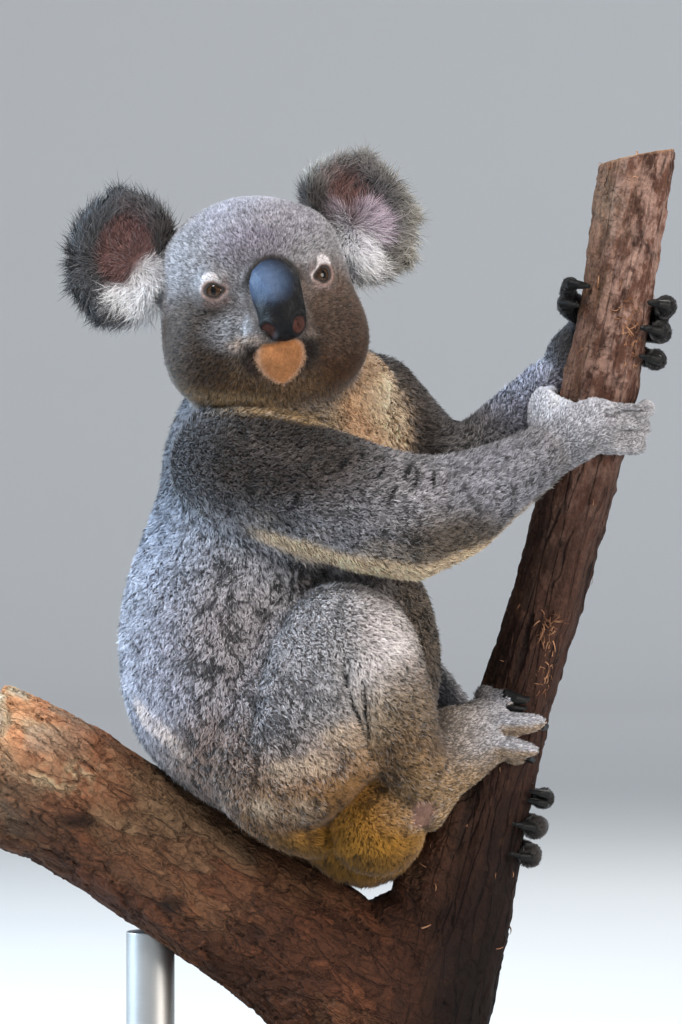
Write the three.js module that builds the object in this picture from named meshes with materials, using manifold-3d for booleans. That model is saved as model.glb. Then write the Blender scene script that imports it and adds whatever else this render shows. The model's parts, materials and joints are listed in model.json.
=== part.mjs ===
// A life-size koala sitting in the fork of a cut branch, held on a plain display stand.
//
// Units are millimetres, +Z is up. The koala sits in profile with its belly towards +X and its right side
// towards -Y, and turns its face to -Y. The origin is the centre of the stand base's underside.
//
// Every piece of the animal is a closed solid that reaches out to the tips of the coat. A piece is either a
// "blob", a ball of triangles pushed out from a centre to the surface of a smooth field, or a "tube" round a
// line of beads. Each piece is cut back by the pieces placed before it, so that neighbours have a thin gap.
import * as THREE from "three";
import { mergeVertices } from "three/addons/utils/BufferGeometryUtils.js";
import Module from "manifold-3d";

const wasm = await Module();
wasm.setup();

// ---------------------------------------------------------------- driving dimensions
const GAP = 0.35; // between neighbouring pieces
const SEAT_GAP = 0.5; // between the animal and the wood it holds

const BASE = { length: 350, width: 250, thick: 18, corner: 24, chamfer: 2.5 };
const ROD = { radius: 8, footRadius: 17, footHeight: 5 };
const STEM_CUT = 63; // height of the perch's sawn underside

const EYE_RADIUS = 9.5;
const CLAW = { root: 2.9, tip: 0.45, flatness: 0.72 };
const DIGIT_SKIN = 0.6; // how far a gripping digit stays off the bark

// ---------------------------------------------------------------- small helpers
const degrees = THREE.MathUtils.degToRad;
const at = (x, y, z) => new THREE.Vector3(x, y, z);
// A bead is a place on a limb's axis, with its half-widths across and through the limb.
const bead = (x, y, z, across, deep = across) => ({ place: at(x, y, z), across, deep });
const mirrored = (point, side) => at(point.x * side, point.y, point.z);

// ---------------------------------------------------------------- fields: below 0 inside, about mm outside
function ball(centre, radii, turn = new THREE.Euler()) {
  const back = new THREE.Quaternion().setFromEuler(turn).invert();
  const p = new THREE.Vector3();
  return (q) => {
    p.copy(q).sub(centre).applyQuaternion(back).divide(radii);
    const near = p.length();
    const slope = p.divide(radii).length();
    return slope > 0 ? (near * (near - 1)) / slope : -Math.min(radii.x, radii.y, radii.z);
  };
}

function smoothMin(a, b, width) {
  const overlap = Math.max(width - Math.abs(a - b), 0) / width;
  return Math.min(a, b) - (overlap * overlap * width) / 4;
}

const melt = (width, ...fields) => (p) => fields.map((f) => f(p)).reduce((a, b) => smoothMin(a, b, width));
const carve = (width, body, hollow) => (p) => -smoothMin(-body(p), hollow(p), width);

// ---------------------------------------------------------------- meshes
function solidFrom(geometry) {
  const bare = new THREE.BufferGeometry().setAttribute("position", geometry.getAttribute("position"));
  if (geometry.index) bare.setIndex(geometry.index);
  const merged = mergeVertices(bare, 1e-3);
  return new wasm.Manifold(
    new wasm.Mesh({
      numProp: 3,
      vertProperties: new Float32Array(merged.attributes.position.array),
      triVerts: new Uint32Array(merged.index.array),
    }),
  );
}

function geometryFrom(solid) {
  const mesh = solid.getMesh();
  return new THREE.BufferGeometry()
    .setAttribute("position", new THREE.BufferAttribute(mesh.vertProperties, 3))
    .setIndex(new THREE.BufferAttribute(mesh.triVerts, 1));
}

// A ball of triangles whose corners are pushed out from a centre until the field says that they are outside.
function blob(field, centre, reach, detail, grow = 0) {
  const sphere = new THREE.IcosahedronGeometry(1, detail);
  sphere.deleteAttribute("normal");
  sphere.deleteAttribute("uv");
  const merged = mergeVertices(sphere, 1e-4);
  const places = merged.attributes.position;
  const step = 0.04;
  for (let i = 0; i < places.count; i++) {
    const ray = new THREE.Vector3().fromBufferAttribute(places, i).multiply(reach);
    const outside = (t) => field(ray.clone().multiplyScalar(t).add(centre)) > grow;
    let high = step;
    while (!outside(high) && high < 4) high += step;
    let low = high - step;
    for (let k = 0; k < 14; k++) {
      const middle = (low + high) / 2;
      if (outside(middle)) high = middle;
      else low = middle;
    }
    const surface = ray.multiplyScalar(high).add(centre);
    places.setXYZ(i, surface.x, surface.y, surface.z);
  }
  return solidFrom(merged);
}

// A tube with round ends through a line of beads. "up" fixes which way the beads' across points.
function tube(beads, options, grow) {
  const { sides = 12, perBead = 2, capRings = 2, up = at(0, 0, 1), ripple = () => 1 } = options;
  const line = new THREE.CatmullRomCurve3(beads.map((b) => b.place), false, "centripetal");
  const widths = new THREE.CatmullRomCurve3(beads.map((b) => at(b.across, b.deep, 0)));
  const rings = [];
  const ring = (t, shrink, push) => {
    const along = line.getTangent(t);
    const across = up.clone().addScaledVector(along, -up.dot(along)).normalize();
    const through = along.clone().cross(across);
    const half = widths.getPoint(t);
    const centre = line.getPoint(t).addScaledVector(along, push * (Math.min(half.x, half.y) + grow));
    rings.push(
      Array.from({ length: sides }, (_, i) => {
        const angle = (i / sides) * 2 * Math.PI;
        const bumps = ripple(t, angle);
        return centre
          .clone()
          .addScaledVector(across, (half.x * bumps + grow) * shrink * Math.cos(angle))
          .addScaledVector(through, (half.y * bumps + grow) * shrink * Math.sin(angle));
      }),
    );
    return centre;
  };
  const quarter = (k) => (k / capRings) * (Math.PI / 2);
  const start = ring(0, 0, -1);
  rings.pop();
  for (let k = 1; k < capRings; k++) ring(0, Math.sin(quarter(k)), -Math.cos(quarter(k)));
  const spans = (beads.length - 1) * perBead;
  for (let k = 0; k <= spans; k++) ring(k / spans, 1, 0);
  for (let k = capRings - 1; k > 0; k--) ring(1, Math.sin(quarter(k)), Math.cos(quarter(k)));
  const end = ring(1, 0, 1);
  rings.pop();

  const corners = [start, ...rings.flat(), end];
  const faces = [];
  const corner = (r, i) => 1 + r * sides + (i % sides);
  for (let i = 0; i < sides; i++) {
    faces.push(0, corner(0, i + 1), corner(0, i));
    faces.push(corners.length - 1, corner(rings.length - 1, i), corner(rings.length - 1, i + 1));
    for (let r = 0; r + 1 < rings.length; r++) {
      faces.push(corner(r, i), corner(r, i + 1), corner(r + 1, i));
      faces.push(corner(r, i + 1), corner(r + 1, i + 1), corner(r + 1, i));
    }
  }
  const geometry = new THREE.BufferGeometry();
  geometry.setAttribute("position", new THREE.Float32BufferAttribute(corners.flatMap((c) => c.toArray()), 3));
  geometry.setIndex(faces);
  return solidFrom(geometry);
}

// ---------------------------------------------------------------- the scene graph
const model = new THREE.Group();
const finishes = {
  coat: new THREE.MeshStandardMaterial({ color: 0x77716f, roughness: 0.95 }),
  nose: new THREE.MeshStandardMaterial({ color: 0x2b2f36, roughness: 0.5 }),
  eye: new THREE.MeshStandardMaterial({ color: 0x2a1710, roughness: 0.12 }),
  claw: new THREE.MeshStandardMaterial({ color: 0x17171a, roughness: 0.35 }),
  bark: new THREE.MeshStandardMaterial({ color: 0x6b4436, roughness: 0.9 }),
  base: new THREE.MeshStandardMaterial({ color: 0x3a3836, roughness: 0.55 }),
  steel: new THREE.MeshStandardMaterial({ color: 0x9a9a98, roughness: 0.35, metalness: 1 }),
};
const neighbours = []; // what has been placed, each a little larger than it is

function largestBody(solid) {
  return solid.decompose().reduce((a, b) => (a.volume() > b.volume() ? a : b));
}

// Adds one named mesh. shape(grow) returns the solid in its group's own frame.
function add(name, finish, shape, group = model, gap = GAP) {
  group.updateWorldMatrix(true, false);
  const out = group.matrixWorld;
  let solid = shape(0).transform(out.elements);
  for (const other of neighbours) solid = solid.subtract(other);
  solid = largestBody(solid).transform(out.clone().invert().elements);
  const mesh = new THREE.Mesh(geometryFrom(solid), finishes[finish]);
  mesh.name = name;
  group.add(mesh);
  neighbours.push(shape(gap).transform(out.elements));
  return mesh;
}

// ---------------------------------------------------------------- the perch: a cut fork of a tree
const post = [
  bead(40, 0, 30, 58),
  bead(62, 0, 110, 50, 46),
  bead(86, 0, 165, 34, 33),
  bead(97, 0, 225, 29, 30),
  bead(122, 0, 325, 27, 28),
  bead(146, 0, 400, 26.5, 27),
  bead(165, 0, 470, 26.5, 26),
  bead(181, 0, 540, 28, 27),
  bead(194, 0, 610, 29.5, 27),
  bead(212, 0, 730, 28, 27),
];
const bough = [
  bead(-290, 0, 297, 55),
  bead(-250, 0, 285, 55),
  bead(-197, 0, 262, 53),
  bead(-150, 0, 232, 52),
  bead(-99, 0, 196, 54),
  bead(-43, 0, 160, 56),
  bead(10, 0, 120, 58),
  bead(48, 0, 80, 56),
];
const LIMB_END = -250; // the limb is sawn here
const POST_TOP = 708; // and the post here, a little aslant

// Bark swells and flutes: slow waves round the wood and along it.
const barkRipple = (seed) => (t, angle) =>
  1 + 0.03 * Math.sin(3 * angle + seed + 5 * t) + 0.022 * Math.sin(5 * angle + 2 * seed - 11 * t);

function perch(grow) {
  const wood = { up: at(0, 1, 0), sides: 18, perBead: 1, capRings: 1 };
  const upright = tube(post, { ...wood, ripple: barkRipple(1.3) }, grow);
  const side = tube(bough, { ...wood, ripple: barkRipple(0.4) }, grow);
  return upright
    .add(side)
    .trimByPlane([0, 0, 1], STEM_CUT - grow)
    .trimByPlane([0.97, 0, -0.25], 0.97 * LIMB_END - 0.25 * 285 - grow)
    .trimByPlane([0.2, 0, -0.98], 0.2 * 209 - 0.98 * POST_TOP - grow);
}
add("perch_fork", "bark", perch, model, SEAT_GAP);

// Where the post's axis is at a height, and which way it runs there.
const postLine = new THREE.CatmullRomCurve3(post.map((b) => b.place), false, "centripetal");
function postAt(height) {
  let low = 0;
  let high = 1;
  for (let k = 0; k < 30; k++) {
    const middle = (low + high) / 2;
    if (postLine.getPoint(middle).z < height) low = middle;
    else high = middle;
  }
  return { centre: postLine.getPoint(low), along: postLine.getTangent(low) };
}
// A place round the post: angle 0 faces -Y, 90 faces +X, and away is measured from the axis.
function roundPost(height, angle, away) {
  const { centre, along } = postAt(height);
  const front = at(0, -1, 0);
  const right = front.clone().cross(along).negate().normalize();
  const turned = front.multiplyScalar(Math.cos(degrees(angle)));
  return centre.addScaledVector(turned.addScaledVector(right, Math.sin(degrees(angle))), away);
}

// ---------------------------------------------------------------- the stand
const standBase = () => {
  const { length, width, thick, corner, chamfer } = BASE;
  const x = length / 2 - corner;
  const y = width / 2 - corner;
  const inset = corner - chamfer;
  const outline = new THREE.Shape();
  outline.absarc(x, y, inset, 0, Math.PI / 2);
  outline.absarc(-x, y, inset, Math.PI / 2, Math.PI);
  outline.absarc(-x, -y, inset, Math.PI, 1.5 * Math.PI);
  outline.absarc(x, -y, inset, 1.5 * Math.PI, 2 * Math.PI);
  const plate = new THREE.ExtrudeGeometry(outline, {
    depth: thick - 2 * chamfer,
    bevelThickness: chamfer,
    bevelSize: chamfer,
    bevelSegments: 1,
    curveSegments: 3,
  });
  return solidFrom(plate.translate(0, 0, chamfer));
};
const rod = (x, top) => () => {
  const profile = [
    [0, BASE.thick + GAP],
    [ROD.footRadius, BASE.thick + GAP],
    [ROD.footRadius, BASE.thick + ROD.footHeight - 1.5],
    [ROD.footRadius - 1.5, BASE.thick + ROD.footHeight],
    [ROD.radius, BASE.thick + ROD.footHeight],
    [ROD.radius, top],
    [0, top],
  ];
  const turned = new THREE.LatheGeometry(profile.map(([r, z]) => new THREE.Vector2(r, z)), 16);
  return solidFrom(turned.rotateX(Math.PI / 2).translate(x, 0, 0));
};
add("stand_base", "base", standBase);
add("stand_rod_stem", "steel", rod(38, STEM_CUT - GAP));
add("stand_rod_limb", "steel", rod(-134, 190));

// ---------------------------------------------------------------- head, in its own turned frame, facing -Y
const head = new THREE.Group();
head.position.set(-59, -42, 604);
head.rotation.set(degrees(1), degrees(-10), degrees(13), "YZX");
model.add(head);

const EYE = at(38.5, -47, 12);
const eyeSize = at(1, 1, 1).multiplyScalar(EYE_RADIUS);
const eye = (side) => (grow) => blob(ball(mirrored(EYE, side), eyeSize), mirrored(EYE, side), eyeSize, 1, grow);
add("eye_right", "eye", eye(-1), head, 0.2);
add("eye_left", "eye", eye(1), head, 0.2);

const noseField = melt(
  10,
  ball(at(0, -68, 6), at(19, 13, 20), new THREE.Euler(degrees(-14), 0, 0)),
  ball(at(0, -75, -14), at(17.5, 14, 16)),
);
add("nose", "nose", (grow) => blob(noseField, at(0, -68, -4), at(20, 16, 30), 2, grow), head);

const cheek = (side) => ball(at(35.5 * side, -12, -30), at(38, 42, 42));
const socket = (side) => ball(at(42 * side, -58, 12), at(13, 13, 11));
const headField = carve(
  6,
  melt(
    22,
    ball(at(0, 4, 14), at(65, 62, 60)), // cranium
    ball(at(0, -28, 26), at(44, 34, 32)), // brow
    cheek(-1),
    cheek(1),
    ball(at(0, -46, -22), at(30, 32, 28)), // muzzle
    ball(at(0, -24, -50), at(36, 36, 26)), // jaw
  ),
  melt(1, socket(-1), socket(1)),
);
// The ears are round cups of fur, each turned outwards by its own angles.
const EAR = at(45, 16, 51);
const earField = carve(9, ball(at(0, 0, 0), EAR), ball(at(0, -17, 3), at(26, 14, 30)));
function ear(name, place, turn) {
  const group = new THREE.Group();
  group.position.copy(place);
  group.rotation.copy(turn);
  head.add(group);
  add(name, "coat", (grow) => blob(earField, at(0, 8, 0), EAR, 3, grow), group);
}
add("head", "coat", (grow) => blob(headField, at(0, -4, -4), at(70, 70, 76), 5, grow), head);
ear("ear_right", at(-84, 12, 47), new THREE.Euler(0, degrees(16), degrees(-8)));
ear("ear_left", at(84, 12, 51), new THREE.Euler(0, degrees(-22), degrees(16)));

// ---------------------------------------------------------------- hands and feet, gripping the post
// A digit runs round the post from one angle to another, rising as it goes, and ends in a claw.
// A digit with beads of its own, such as a big toe held off the wood, has no claw.
function digitBeads(digit, wood) {
  const steps = 3;
  const off = wood + digit.radius + DIGIT_SKIN;
  return Array.from({ length: steps + 1 }, (_, i) => {
    const share = i / steps;
    const angle = digit.from + (digit.to - digit.from) * share;
    const p = roundPost(digit.height + digit.rise * share, angle, off);
    const knuckle = 1 + 0.1 * Math.cos(share * 2 * Math.PI);
    return bead(p.x, p.y, p.z, digit.radius * knuckle * (1 - 0.14 * share));
  });
}
// A claw leaves the digit's tip, stands off the wood, and hooks back to touch it. The steps are degrees past
// the tip, distance off the wood, and share of the claw's root width.
function clawBeads(digit, wood) {
  const onward = Math.sign(digit.to - digit.from);
  const lift = digit.radius + DIGIT_SKIN;
  const steps = [
    [-2, lift * 1.25, 1],
    [9, lift * 1.3, 0.92],
    [19, lift * 0.95, 0.6],
    [27, lift * 0.3 + CLAW.tip, 0.17],
  ];
  return steps.map(([ahead, off, share]) => {
    const p = roundPost(digit.height + digit.rise, digit.to + onward * ahead, wood + off);
    return bead(p.x, p.y, p.z, CLAW.root * share, CLAW.root * share * CLAW.flatness);
  });
}

const TWIN_CLAWS = 6.5; // between the two claws of the toes that are joined in one skin
function grip(name, { wood, palm, digits }) {
  digits.forEach((digit, i) => {
    const claws = digit.beads ? [] : digit.twin ? [-0.5, 0.5] : [0];
    claws.forEach((side, c) => {
      const own = { ...digit, height: digit.height + side * TWIN_CLAWS };
      const letter = digit.twin ? "ab"[c] : "";
      const shape = (grow) => tube(clawBeads(own, wood), { sides: 5, perBead: 1, capRings: 1 }, grow);
      add(`claw_${name}_${i + 1}${letter}`, "claw", shape);
    });
  });
  const digitTube = (digit, grow) =>
    tube(digit.beads ?? digitBeads(digit, wood), { sides: 6, perBead: 1 }, grow);
  add(name, "coat", (grow) =>
    digits.reduce(
      (hand, digit) => hand.add(digitTube(digit, grow)),
      tube(palm, { sides: 10, perBead: 1 }, grow),
    ),
  );
}

grip("hand_right", {
  wood: 27,
  palm: [bead(146, -34, 503, 22, 15), bead(164, -42, 513, 22, 14), bead(182, -41, 522, 19, 12)],
  digits: [
    { height: 529, rise: 9, from: -6, to: 92, radius: 7.6 },
    { height: 517, rise: 8, from: -6, to: 98, radius: 8 },
    { height: 504, rise: 8, from: -6, to: 90, radius: 7.6 },
    { height: 524, rise: 12, from: -28, to: -112, radius: 7.5 },
    { height: 509, rise: 6, from: -28, to: -100, radius: 7.5 },
  ],
});
grip("hand_left", {
  wood: 27.5,
  palm: [bead(160, 36, 566, 20, 14), bead(178, 42, 580, 23, 14), bead(194, 42, 590, 22, 13)],
  digits: [
    { height: 605, rise: 3, from: 180, to: 72, radius: 8.4 },
    { height: 590, rise: 0, from: 180, to: 66, radius: 8.6 },
    { height: 574, rise: -3, from: 180, to: 74, radius: 8.2 },
    { height: 598, rise: 14, from: -160, to: -72, radius: 7.6 },
    { height: 588, rise: 10, from: -160, to: -88, radius: 7.4 },
  ],
});
grip("foot_right", {
  wood: 28,
  palm: [bead(62, -54, 275, 24, 17), bead(82, -50, 292, 26, 15), bead(100, -44, 304, 24, 12)],
  digits: [
    { height: 325, rise: 3, from: -40, to: -14, radius: 8.4, twin: true },
    { height: 310, rise: 5, from: -40, to: 22, radius: 9 },
    { height: 292, rise: -2, from: -40, to: 15, radius: 8.8 },
    { beads: [bead(80, -48, 272, 10), bead(70, -55, 258, 9.5), bead(62, -59, 247, 9)] },
  ],
});
grip("foot_left", {
  wood: 29.5,
  palm: [bead(84, 50, 268, 22, 16), bead(98, 50, 254, 24, 14), bead(108, 47, 244, 22, 12)],
  digits: [
    { height: 262, rise: 4, from: 165, to: 78, radius: 8, twin: true },
    { height: 246, rise: -1, from: 165, to: 62, radius: 8.6 },
    { height: 229, rise: -5, from: 165, to: 68, radius: 8.4 },
    { beads: [bead(92, 48, 266, 9.5), bead(80, 40, 272, 9), bead(68, 26, 274, 8.5)] },
  ],
});

// ---------------------------------------------------------------- trunk and neck
const trunkField = melt(
  34,
  ball(at(-62, 0, 312), at(88, 94, 68), new THREE.Euler(0, degrees(28), 0)), // rump
  ball(at(-80, 0, 378), at(76, 88, 92)), // small of the back
  ball(at(2, 4, 352), at(70, 72, 96)), // belly
  ball(at(-48, 2, 458), at(78, 86, 84)), // chest
  ball(at(-50, -12, 512), at(68, 72, 52)), // shoulders
  ball(at(14, 40, 512), at(44, 42, 52)), // far side of the breast
  ball(at(15, 2, 240), at(50, 62, 48)), // seat
);
add("trunk", "coat", (grow) => blob(trunkField, at(-46, 0, 366), at(100, 92, 165), 5, grow));
const neckField = melt(20, ball(at(-46, -14, 548), at(60, 56, 44)), ball(at(-4, 18, 542), at(46, 42, 38)));
add("neck", "coat", (grow) => blob(neckField, at(-34, -6, 540), at(66, 60, 46), 2, grow));

// ---------------------------------------------------------------- arms and legs
const limb = (beads) => (grow) => tube(beads, { sides: 10 }, grow);
// The same limb, kept only on one side of the plane square to its axis at a bead.
const halfLimb = (beads, joint, side) => (grow) => {
  const place = beads[joint].place;
  const normal = beads[joint + 1].place.clone().sub(beads[joint - 1].place).normalize().multiplyScalar(side);
  return limb(beads)(grow).trimByPlane(normal.toArray(), normal.dot(place) - grow);
};
const thigh = (hip, haunch, knee) => (grow) => {
  const field = melt(30, ball(hip, at(56, 50, 58)), ball(haunch, at(54, 40, 70)), ball(knee, at(36, 34, 38)));
  const middle = hip.clone().add(haunch).add(knee).divideScalar(3);
  return blob(field, middle, at(60, 50, 76), 3, grow);
};

add("thigh_right", "coat", thigh(at(-40, -60, 294), at(-8, -82, 340), at(16, -88, 362)));
add("shank_right", "coat", limb([bead(24, -88, 354, 34), bead(38, -80, 316, 31), bead(52, -66, 272, 23)]));
add("thigh_left", "coat", thigh(at(-34, 60, 288), at(12, 78, 310), at(56, 76, 314)));
add("shank_left", "coat", limb([bead(64, 74, 312, 32), bead(78, 64, 286, 27), bead(88, 54, 264, 21)]));
const armRight = [
  bead(-72, -62, 492, 50),
  bead(-10, -86, 470, 46),
  bead(50, -88, 454, 46),
  bead(106, -64, 477, 29),
  bead(140, -40, 498, 22.5),
];
const armLeft = [
  bead(16, 52, 534, 44),
  bead(50, 74, 506, 37),
  bead(80, 82, 484, 33),
  bead(118, 64, 518, 25),
  bead(152, 42, 554, 19),
];
const ELBOW = 2;
add("upper_arm_right", "coat", halfLimb(armRight, ELBOW, -1));
add("forearm_right", "coat", halfLimb(armRight, ELBOW, 1));
add("upper_arm_left", "coat", halfLimb(armLeft, ELBOW, -1));
add("forearm_left", "coat", halfLimb(armLeft, ELBOW, 1));

export default model;
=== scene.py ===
"""A life-size koala sitting in the fork of a cut branch, held on a plain display stand.

One skin is made from the flesh solids and drawn in by the depth of the coat. Some 740,000 thin tufts of two
triangles grow from it and lie with the coat. Eyes, nose, claws, bark and stand are pieces of their own.
Units are metres. The belly faces +X, the right side -Y, and the face is turned to -Y.
"""
import json
import math

import bpy
import numpy as np
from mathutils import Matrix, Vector
from mathutils.bvhtree import BVHTree
from mathutils.kdtree import KDTree

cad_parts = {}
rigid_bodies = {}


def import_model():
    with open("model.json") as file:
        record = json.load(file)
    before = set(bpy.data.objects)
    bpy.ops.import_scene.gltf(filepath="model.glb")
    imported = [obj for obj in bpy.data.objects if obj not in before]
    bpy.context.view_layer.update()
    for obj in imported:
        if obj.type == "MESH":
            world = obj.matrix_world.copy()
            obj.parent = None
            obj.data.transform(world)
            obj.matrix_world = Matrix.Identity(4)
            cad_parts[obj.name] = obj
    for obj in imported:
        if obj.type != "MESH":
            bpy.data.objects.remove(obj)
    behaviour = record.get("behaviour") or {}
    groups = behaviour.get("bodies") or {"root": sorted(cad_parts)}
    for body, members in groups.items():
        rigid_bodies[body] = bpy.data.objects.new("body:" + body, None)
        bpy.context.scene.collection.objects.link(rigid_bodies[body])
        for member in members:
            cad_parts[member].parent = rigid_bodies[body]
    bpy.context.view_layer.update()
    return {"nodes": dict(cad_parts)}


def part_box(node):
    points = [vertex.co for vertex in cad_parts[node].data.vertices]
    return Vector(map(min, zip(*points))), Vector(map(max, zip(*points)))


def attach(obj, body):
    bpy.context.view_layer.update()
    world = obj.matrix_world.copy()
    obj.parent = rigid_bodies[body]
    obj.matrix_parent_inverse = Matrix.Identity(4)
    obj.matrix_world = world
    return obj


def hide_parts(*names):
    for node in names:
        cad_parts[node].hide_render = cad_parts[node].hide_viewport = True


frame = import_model()
nodes = frame["nodes"]
MM = 0.001


# ---------------------------------------------------------------- mesh helpers
def only(obj):
    """Selects one object alone and makes it the active one."""
    bpy.ops.object.select_all(action="DESELECT")
    obj.select_set(True)
    bpy.context.view_layer.objects.active = obj
    return obj


def added(name, data):
    """A new object in the scene."""
    obj = bpy.data.objects.new(name, data)
    bpy.context.scene.collection.objects.link(obj)
    return obj


def primitive(operator, **settings):
    """A new mesh from one of the operators that add them, with no material."""
    bpy.ops.object.select_all(action="DESELECT")
    operator(**settings)
    made = bpy.context.active_object
    made.data.materials.clear()
    return made


def modify(obj, kind, **settings):
    """Adds a modifier and applies it."""
    only(obj)
    modifier = obj.modifiers.new(kind.title(), kind)
    for name, value in settings.items():
        setattr(modifier, name, value)
    bpy.ops.object.modifier_apply(modifier=modifier.name)
    return obj


def edit(obj, *steps):
    """Runs edit-mode operators, each given as (operator, settings), on all of an object's mesh."""
    only(obj)
    bpy.ops.object.mode_set(mode="EDIT")
    bpy.ops.mesh.select_all(action="SELECT")
    for operator, settings in steps:
        operator(**settings)
    bpy.ops.object.mode_set(mode="OBJECT")
    return obj


def get(items, field, width=3, kind=np.float32):
    """Reads one field of a mesh's vertices, faces or loops as an array."""
    values = np.empty(len(items) * width, kind)
    items.foreach_get(field, values)
    return values.reshape(-1, width) if width > 1 else values


def points(obj):
    return get(obj.data.vertices, "co").astype(float)


def outward(obj):
    return get(obj.data.vertex_normals, "vector").astype(float)


def place(obj, co):
    obj.data.vertices.foreach_set("co", np.asarray(co, np.float32).ravel())
    obj.data.update()
    return obj


def store(obj, name, values):
    """Keeps a number or a colour on each vertex for the material to read."""
    values = np.asarray(values, np.float32)
    if values.ndim == 1:
        obj.data.attributes.new(name, "FLOAT", "POINT").data.foreach_set("value", values)
    else:
        full = np.concatenate([values, np.ones((len(values), 1), np.float32)], 1)
        obj.data.attributes.new(name, "FLOAT_COLOR", "POINT").data.foreach_set("color", full.ravel())


def copy_of(node, name):
    """A piece that starts from a solid, with its loose triangles merged into one surface."""
    twin = added(name, nodes[node].data.copy())
    twin.data.materials.clear()
    return edit(twin, (bpy.ops.mesh.remove_doubles, {"threshold": 0.01 * MM}))


def joined(objects, name):
    """One object out of several."""
    only(objects[0])
    for obj in objects:
        obj.select_set(True)
    if len(objects) > 1:
        bpy.ops.object.join()
    objects[0].name = name
    return objects[0]


def neighbours(obj):
    """A function that gives the mean of each vertex's neighbours for any values held on the vertices."""
    ends = get(obj.data.edges, "vertices", 2, np.int32)
    a, b = ends[:, 0], ends[:, 1]
    count = len(obj.data.vertices)
    degree = np.maximum(np.bincount(a, minlength=count) + np.bincount(b, minlength=count), 1)

    def mean(values):
        columns = [
            np.bincount(a, v[b], count) + np.bincount(b, v[a], count)
            for v in np.atleast_2d(values.T)
        ]
        return (np.array(columns) / degree).T.reshape(values.shape)

    return mean


def relax(obj, rounds, share=None, back=0.52):
    """Evens out a surface: each step forward is taken back in part, so that thin parts keep their size."""
    mean = neighbours(obj)
    co = points(obj)
    share = 1 if share is None else share[:, None]
    for _ in range(rounds):
        for step in (0.5, -back):
            co = co + (mean(co) - co) * step * share
    return place(obj, co)


def smooth(obj, degrees=None):
    """Shades an object smooth, but not across edges that are sharper than an angle, if one is given."""
    only(obj)
    if degrees is None:
        bpy.ops.object.shade_smooth()
    else:
        bpy.ops.object.shade_smooth_by_angle(angle=math.radians(degrees))


# ---------------------------------------------------------------- maths on arrays
def unit(v):
    return v / np.maximum(np.linalg.norm(v, axis=-1, keepdims=True), 1e-9)


def ramp(x, low, high):
    """0 below low, 1 above high, and smooth between."""
    t = np.clip((x - low) / (high - low), 0, 1)
    return t * t * (3 - 2 * t)


def spot(p, centre, radii, soft=0.35):
    """1 inside an ellipsoid, falling to 0 over a soft edge."""
    d = np.linalg.norm((p - np.asarray(centre)) / np.asarray(radii), axis=-1)
    return 1 - ramp(d, 1 - soft, 1 + soft)


def swell(gap, size):
    """1 where a distance is 0, falling off as a bell does."""
    return np.exp(-((gap / size) ** 2))


def nearest_of(places):
    """A function that gives, for each of some points, the number of the place nearest to it."""
    tree = KDTree(len(places))
    for k, q in enumerate(places):
        tree.insert(q, k)
    tree.balance()
    return lambda asked: np.array([tree.find(q)[1] for q in asked])


def near_line(p, line):
    """Distance from each point to a line of points, and how far along it, from 0 to 1."""
    line = np.asarray(line, float)
    best, along = np.full(len(p), 1e9), np.zeros(len(p))
    for k in range(len(line) - 1):
        a, d = line[k], line[k + 1] - line[k]
        t = np.clip(((p - a) @ d) / (d @ d), 0, 1)
        gap = np.linalg.norm(p - a - t[:, None] * d, axis=1)
        closer = gap < best
        best = np.where(closer, gap, best)
        along = np.where(closer, (k + t) / (len(line) - 1), along)
    return best, along


def scatter(cell, seed):
    """A random number from 0 to 1 for each whole-numbered cell."""
    h = (cell[..., 0] * 73856093) ^ (cell[..., 1] * 19349663) ^ (cell[..., 2] * 83492791) ^ (seed * 2654435)
    h = h.astype(np.uint64) & np.uint64(0xFFFFFFFF)
    h = ((h ^ (h >> np.uint64(15))) * np.uint64(2246822519)) & np.uint64(0xFFFFFFFF)
    h = ((h ^ (h >> np.uint64(13))) * np.uint64(3266489917)) & np.uint64(0xFFFFFFFF)
    return ((h ^ (h >> np.uint64(16))) & np.uint64(0xFFFFFF)).astype(float) / 0xFFFFFF


def cloud(p, size, seed):
    """Smooth random values from -1 to 1 with lumps of about the given size."""
    q = p / size
    base = np.floor(q).astype(np.int64)
    t = q - base
    t = t * t * (3 - 2 * t)
    total = np.zeros(len(p))
    for corner in range(8):
        step = np.array([corner & 1, (corner >> 1) & 1, corner >> 2])
        weight = np.where(step, t, 1 - t).prod(1)
        total += weight * scatter(base + step, seed)
    return total * 2 - 1


# ---------------------------------------------------------------- landmarks
def centre(*names):
    """The middle of one or more solids' boxes."""
    return np.mean([np.add(*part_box(n)) / 2 for n in names], axis=0)


def within(node, x, y, z):
    """A point at shares x, y and z of a solid's box."""
    low, high = (np.array(c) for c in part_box(node))
    return low + (high - low) * np.array([x, y, z])


def places(node, *each):
    """Several points on a solid's box, each as its three shares."""
    return [within(node, *at) for at in each]


def level(node, part):
    """The height of a share of a solid's box."""
    return within(node, 0, 0, part)[2]


EYES = [centre("eye_right"), centre("eye_left")]
EYE_RADIUS = (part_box("eye_right")[1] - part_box("eye_right")[0]).x / 2
BROW = (EYES[0] + EYES[1]) / 2
SKULL_FROM_BROW = (0, 47, -12)
SIDEWAYS = unit(EYES[1] - EYES[0])
NOSE_DROP = math.radians(30)
toward_nose = centre("nose") - BROW
toward_nose = unit(toward_nose - SIDEWAYS * (toward_nose @ SIDEWAYS))
FORWARD = unit(math.cos(NOSE_DROP) * toward_nose + math.sin(NOSE_DROP) * np.cross(toward_nose, SIDEWAYS))
UPWARD = np.cross(FORWARD, SIDEWAYS)
HEAD_AXES = np.array([SIDEWAYS, -FORWARD, UPWARD])
HEAD_ORIGIN = BROW + np.array(SKULL_FROM_BROW) * MM @ HEAD_AXES


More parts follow.
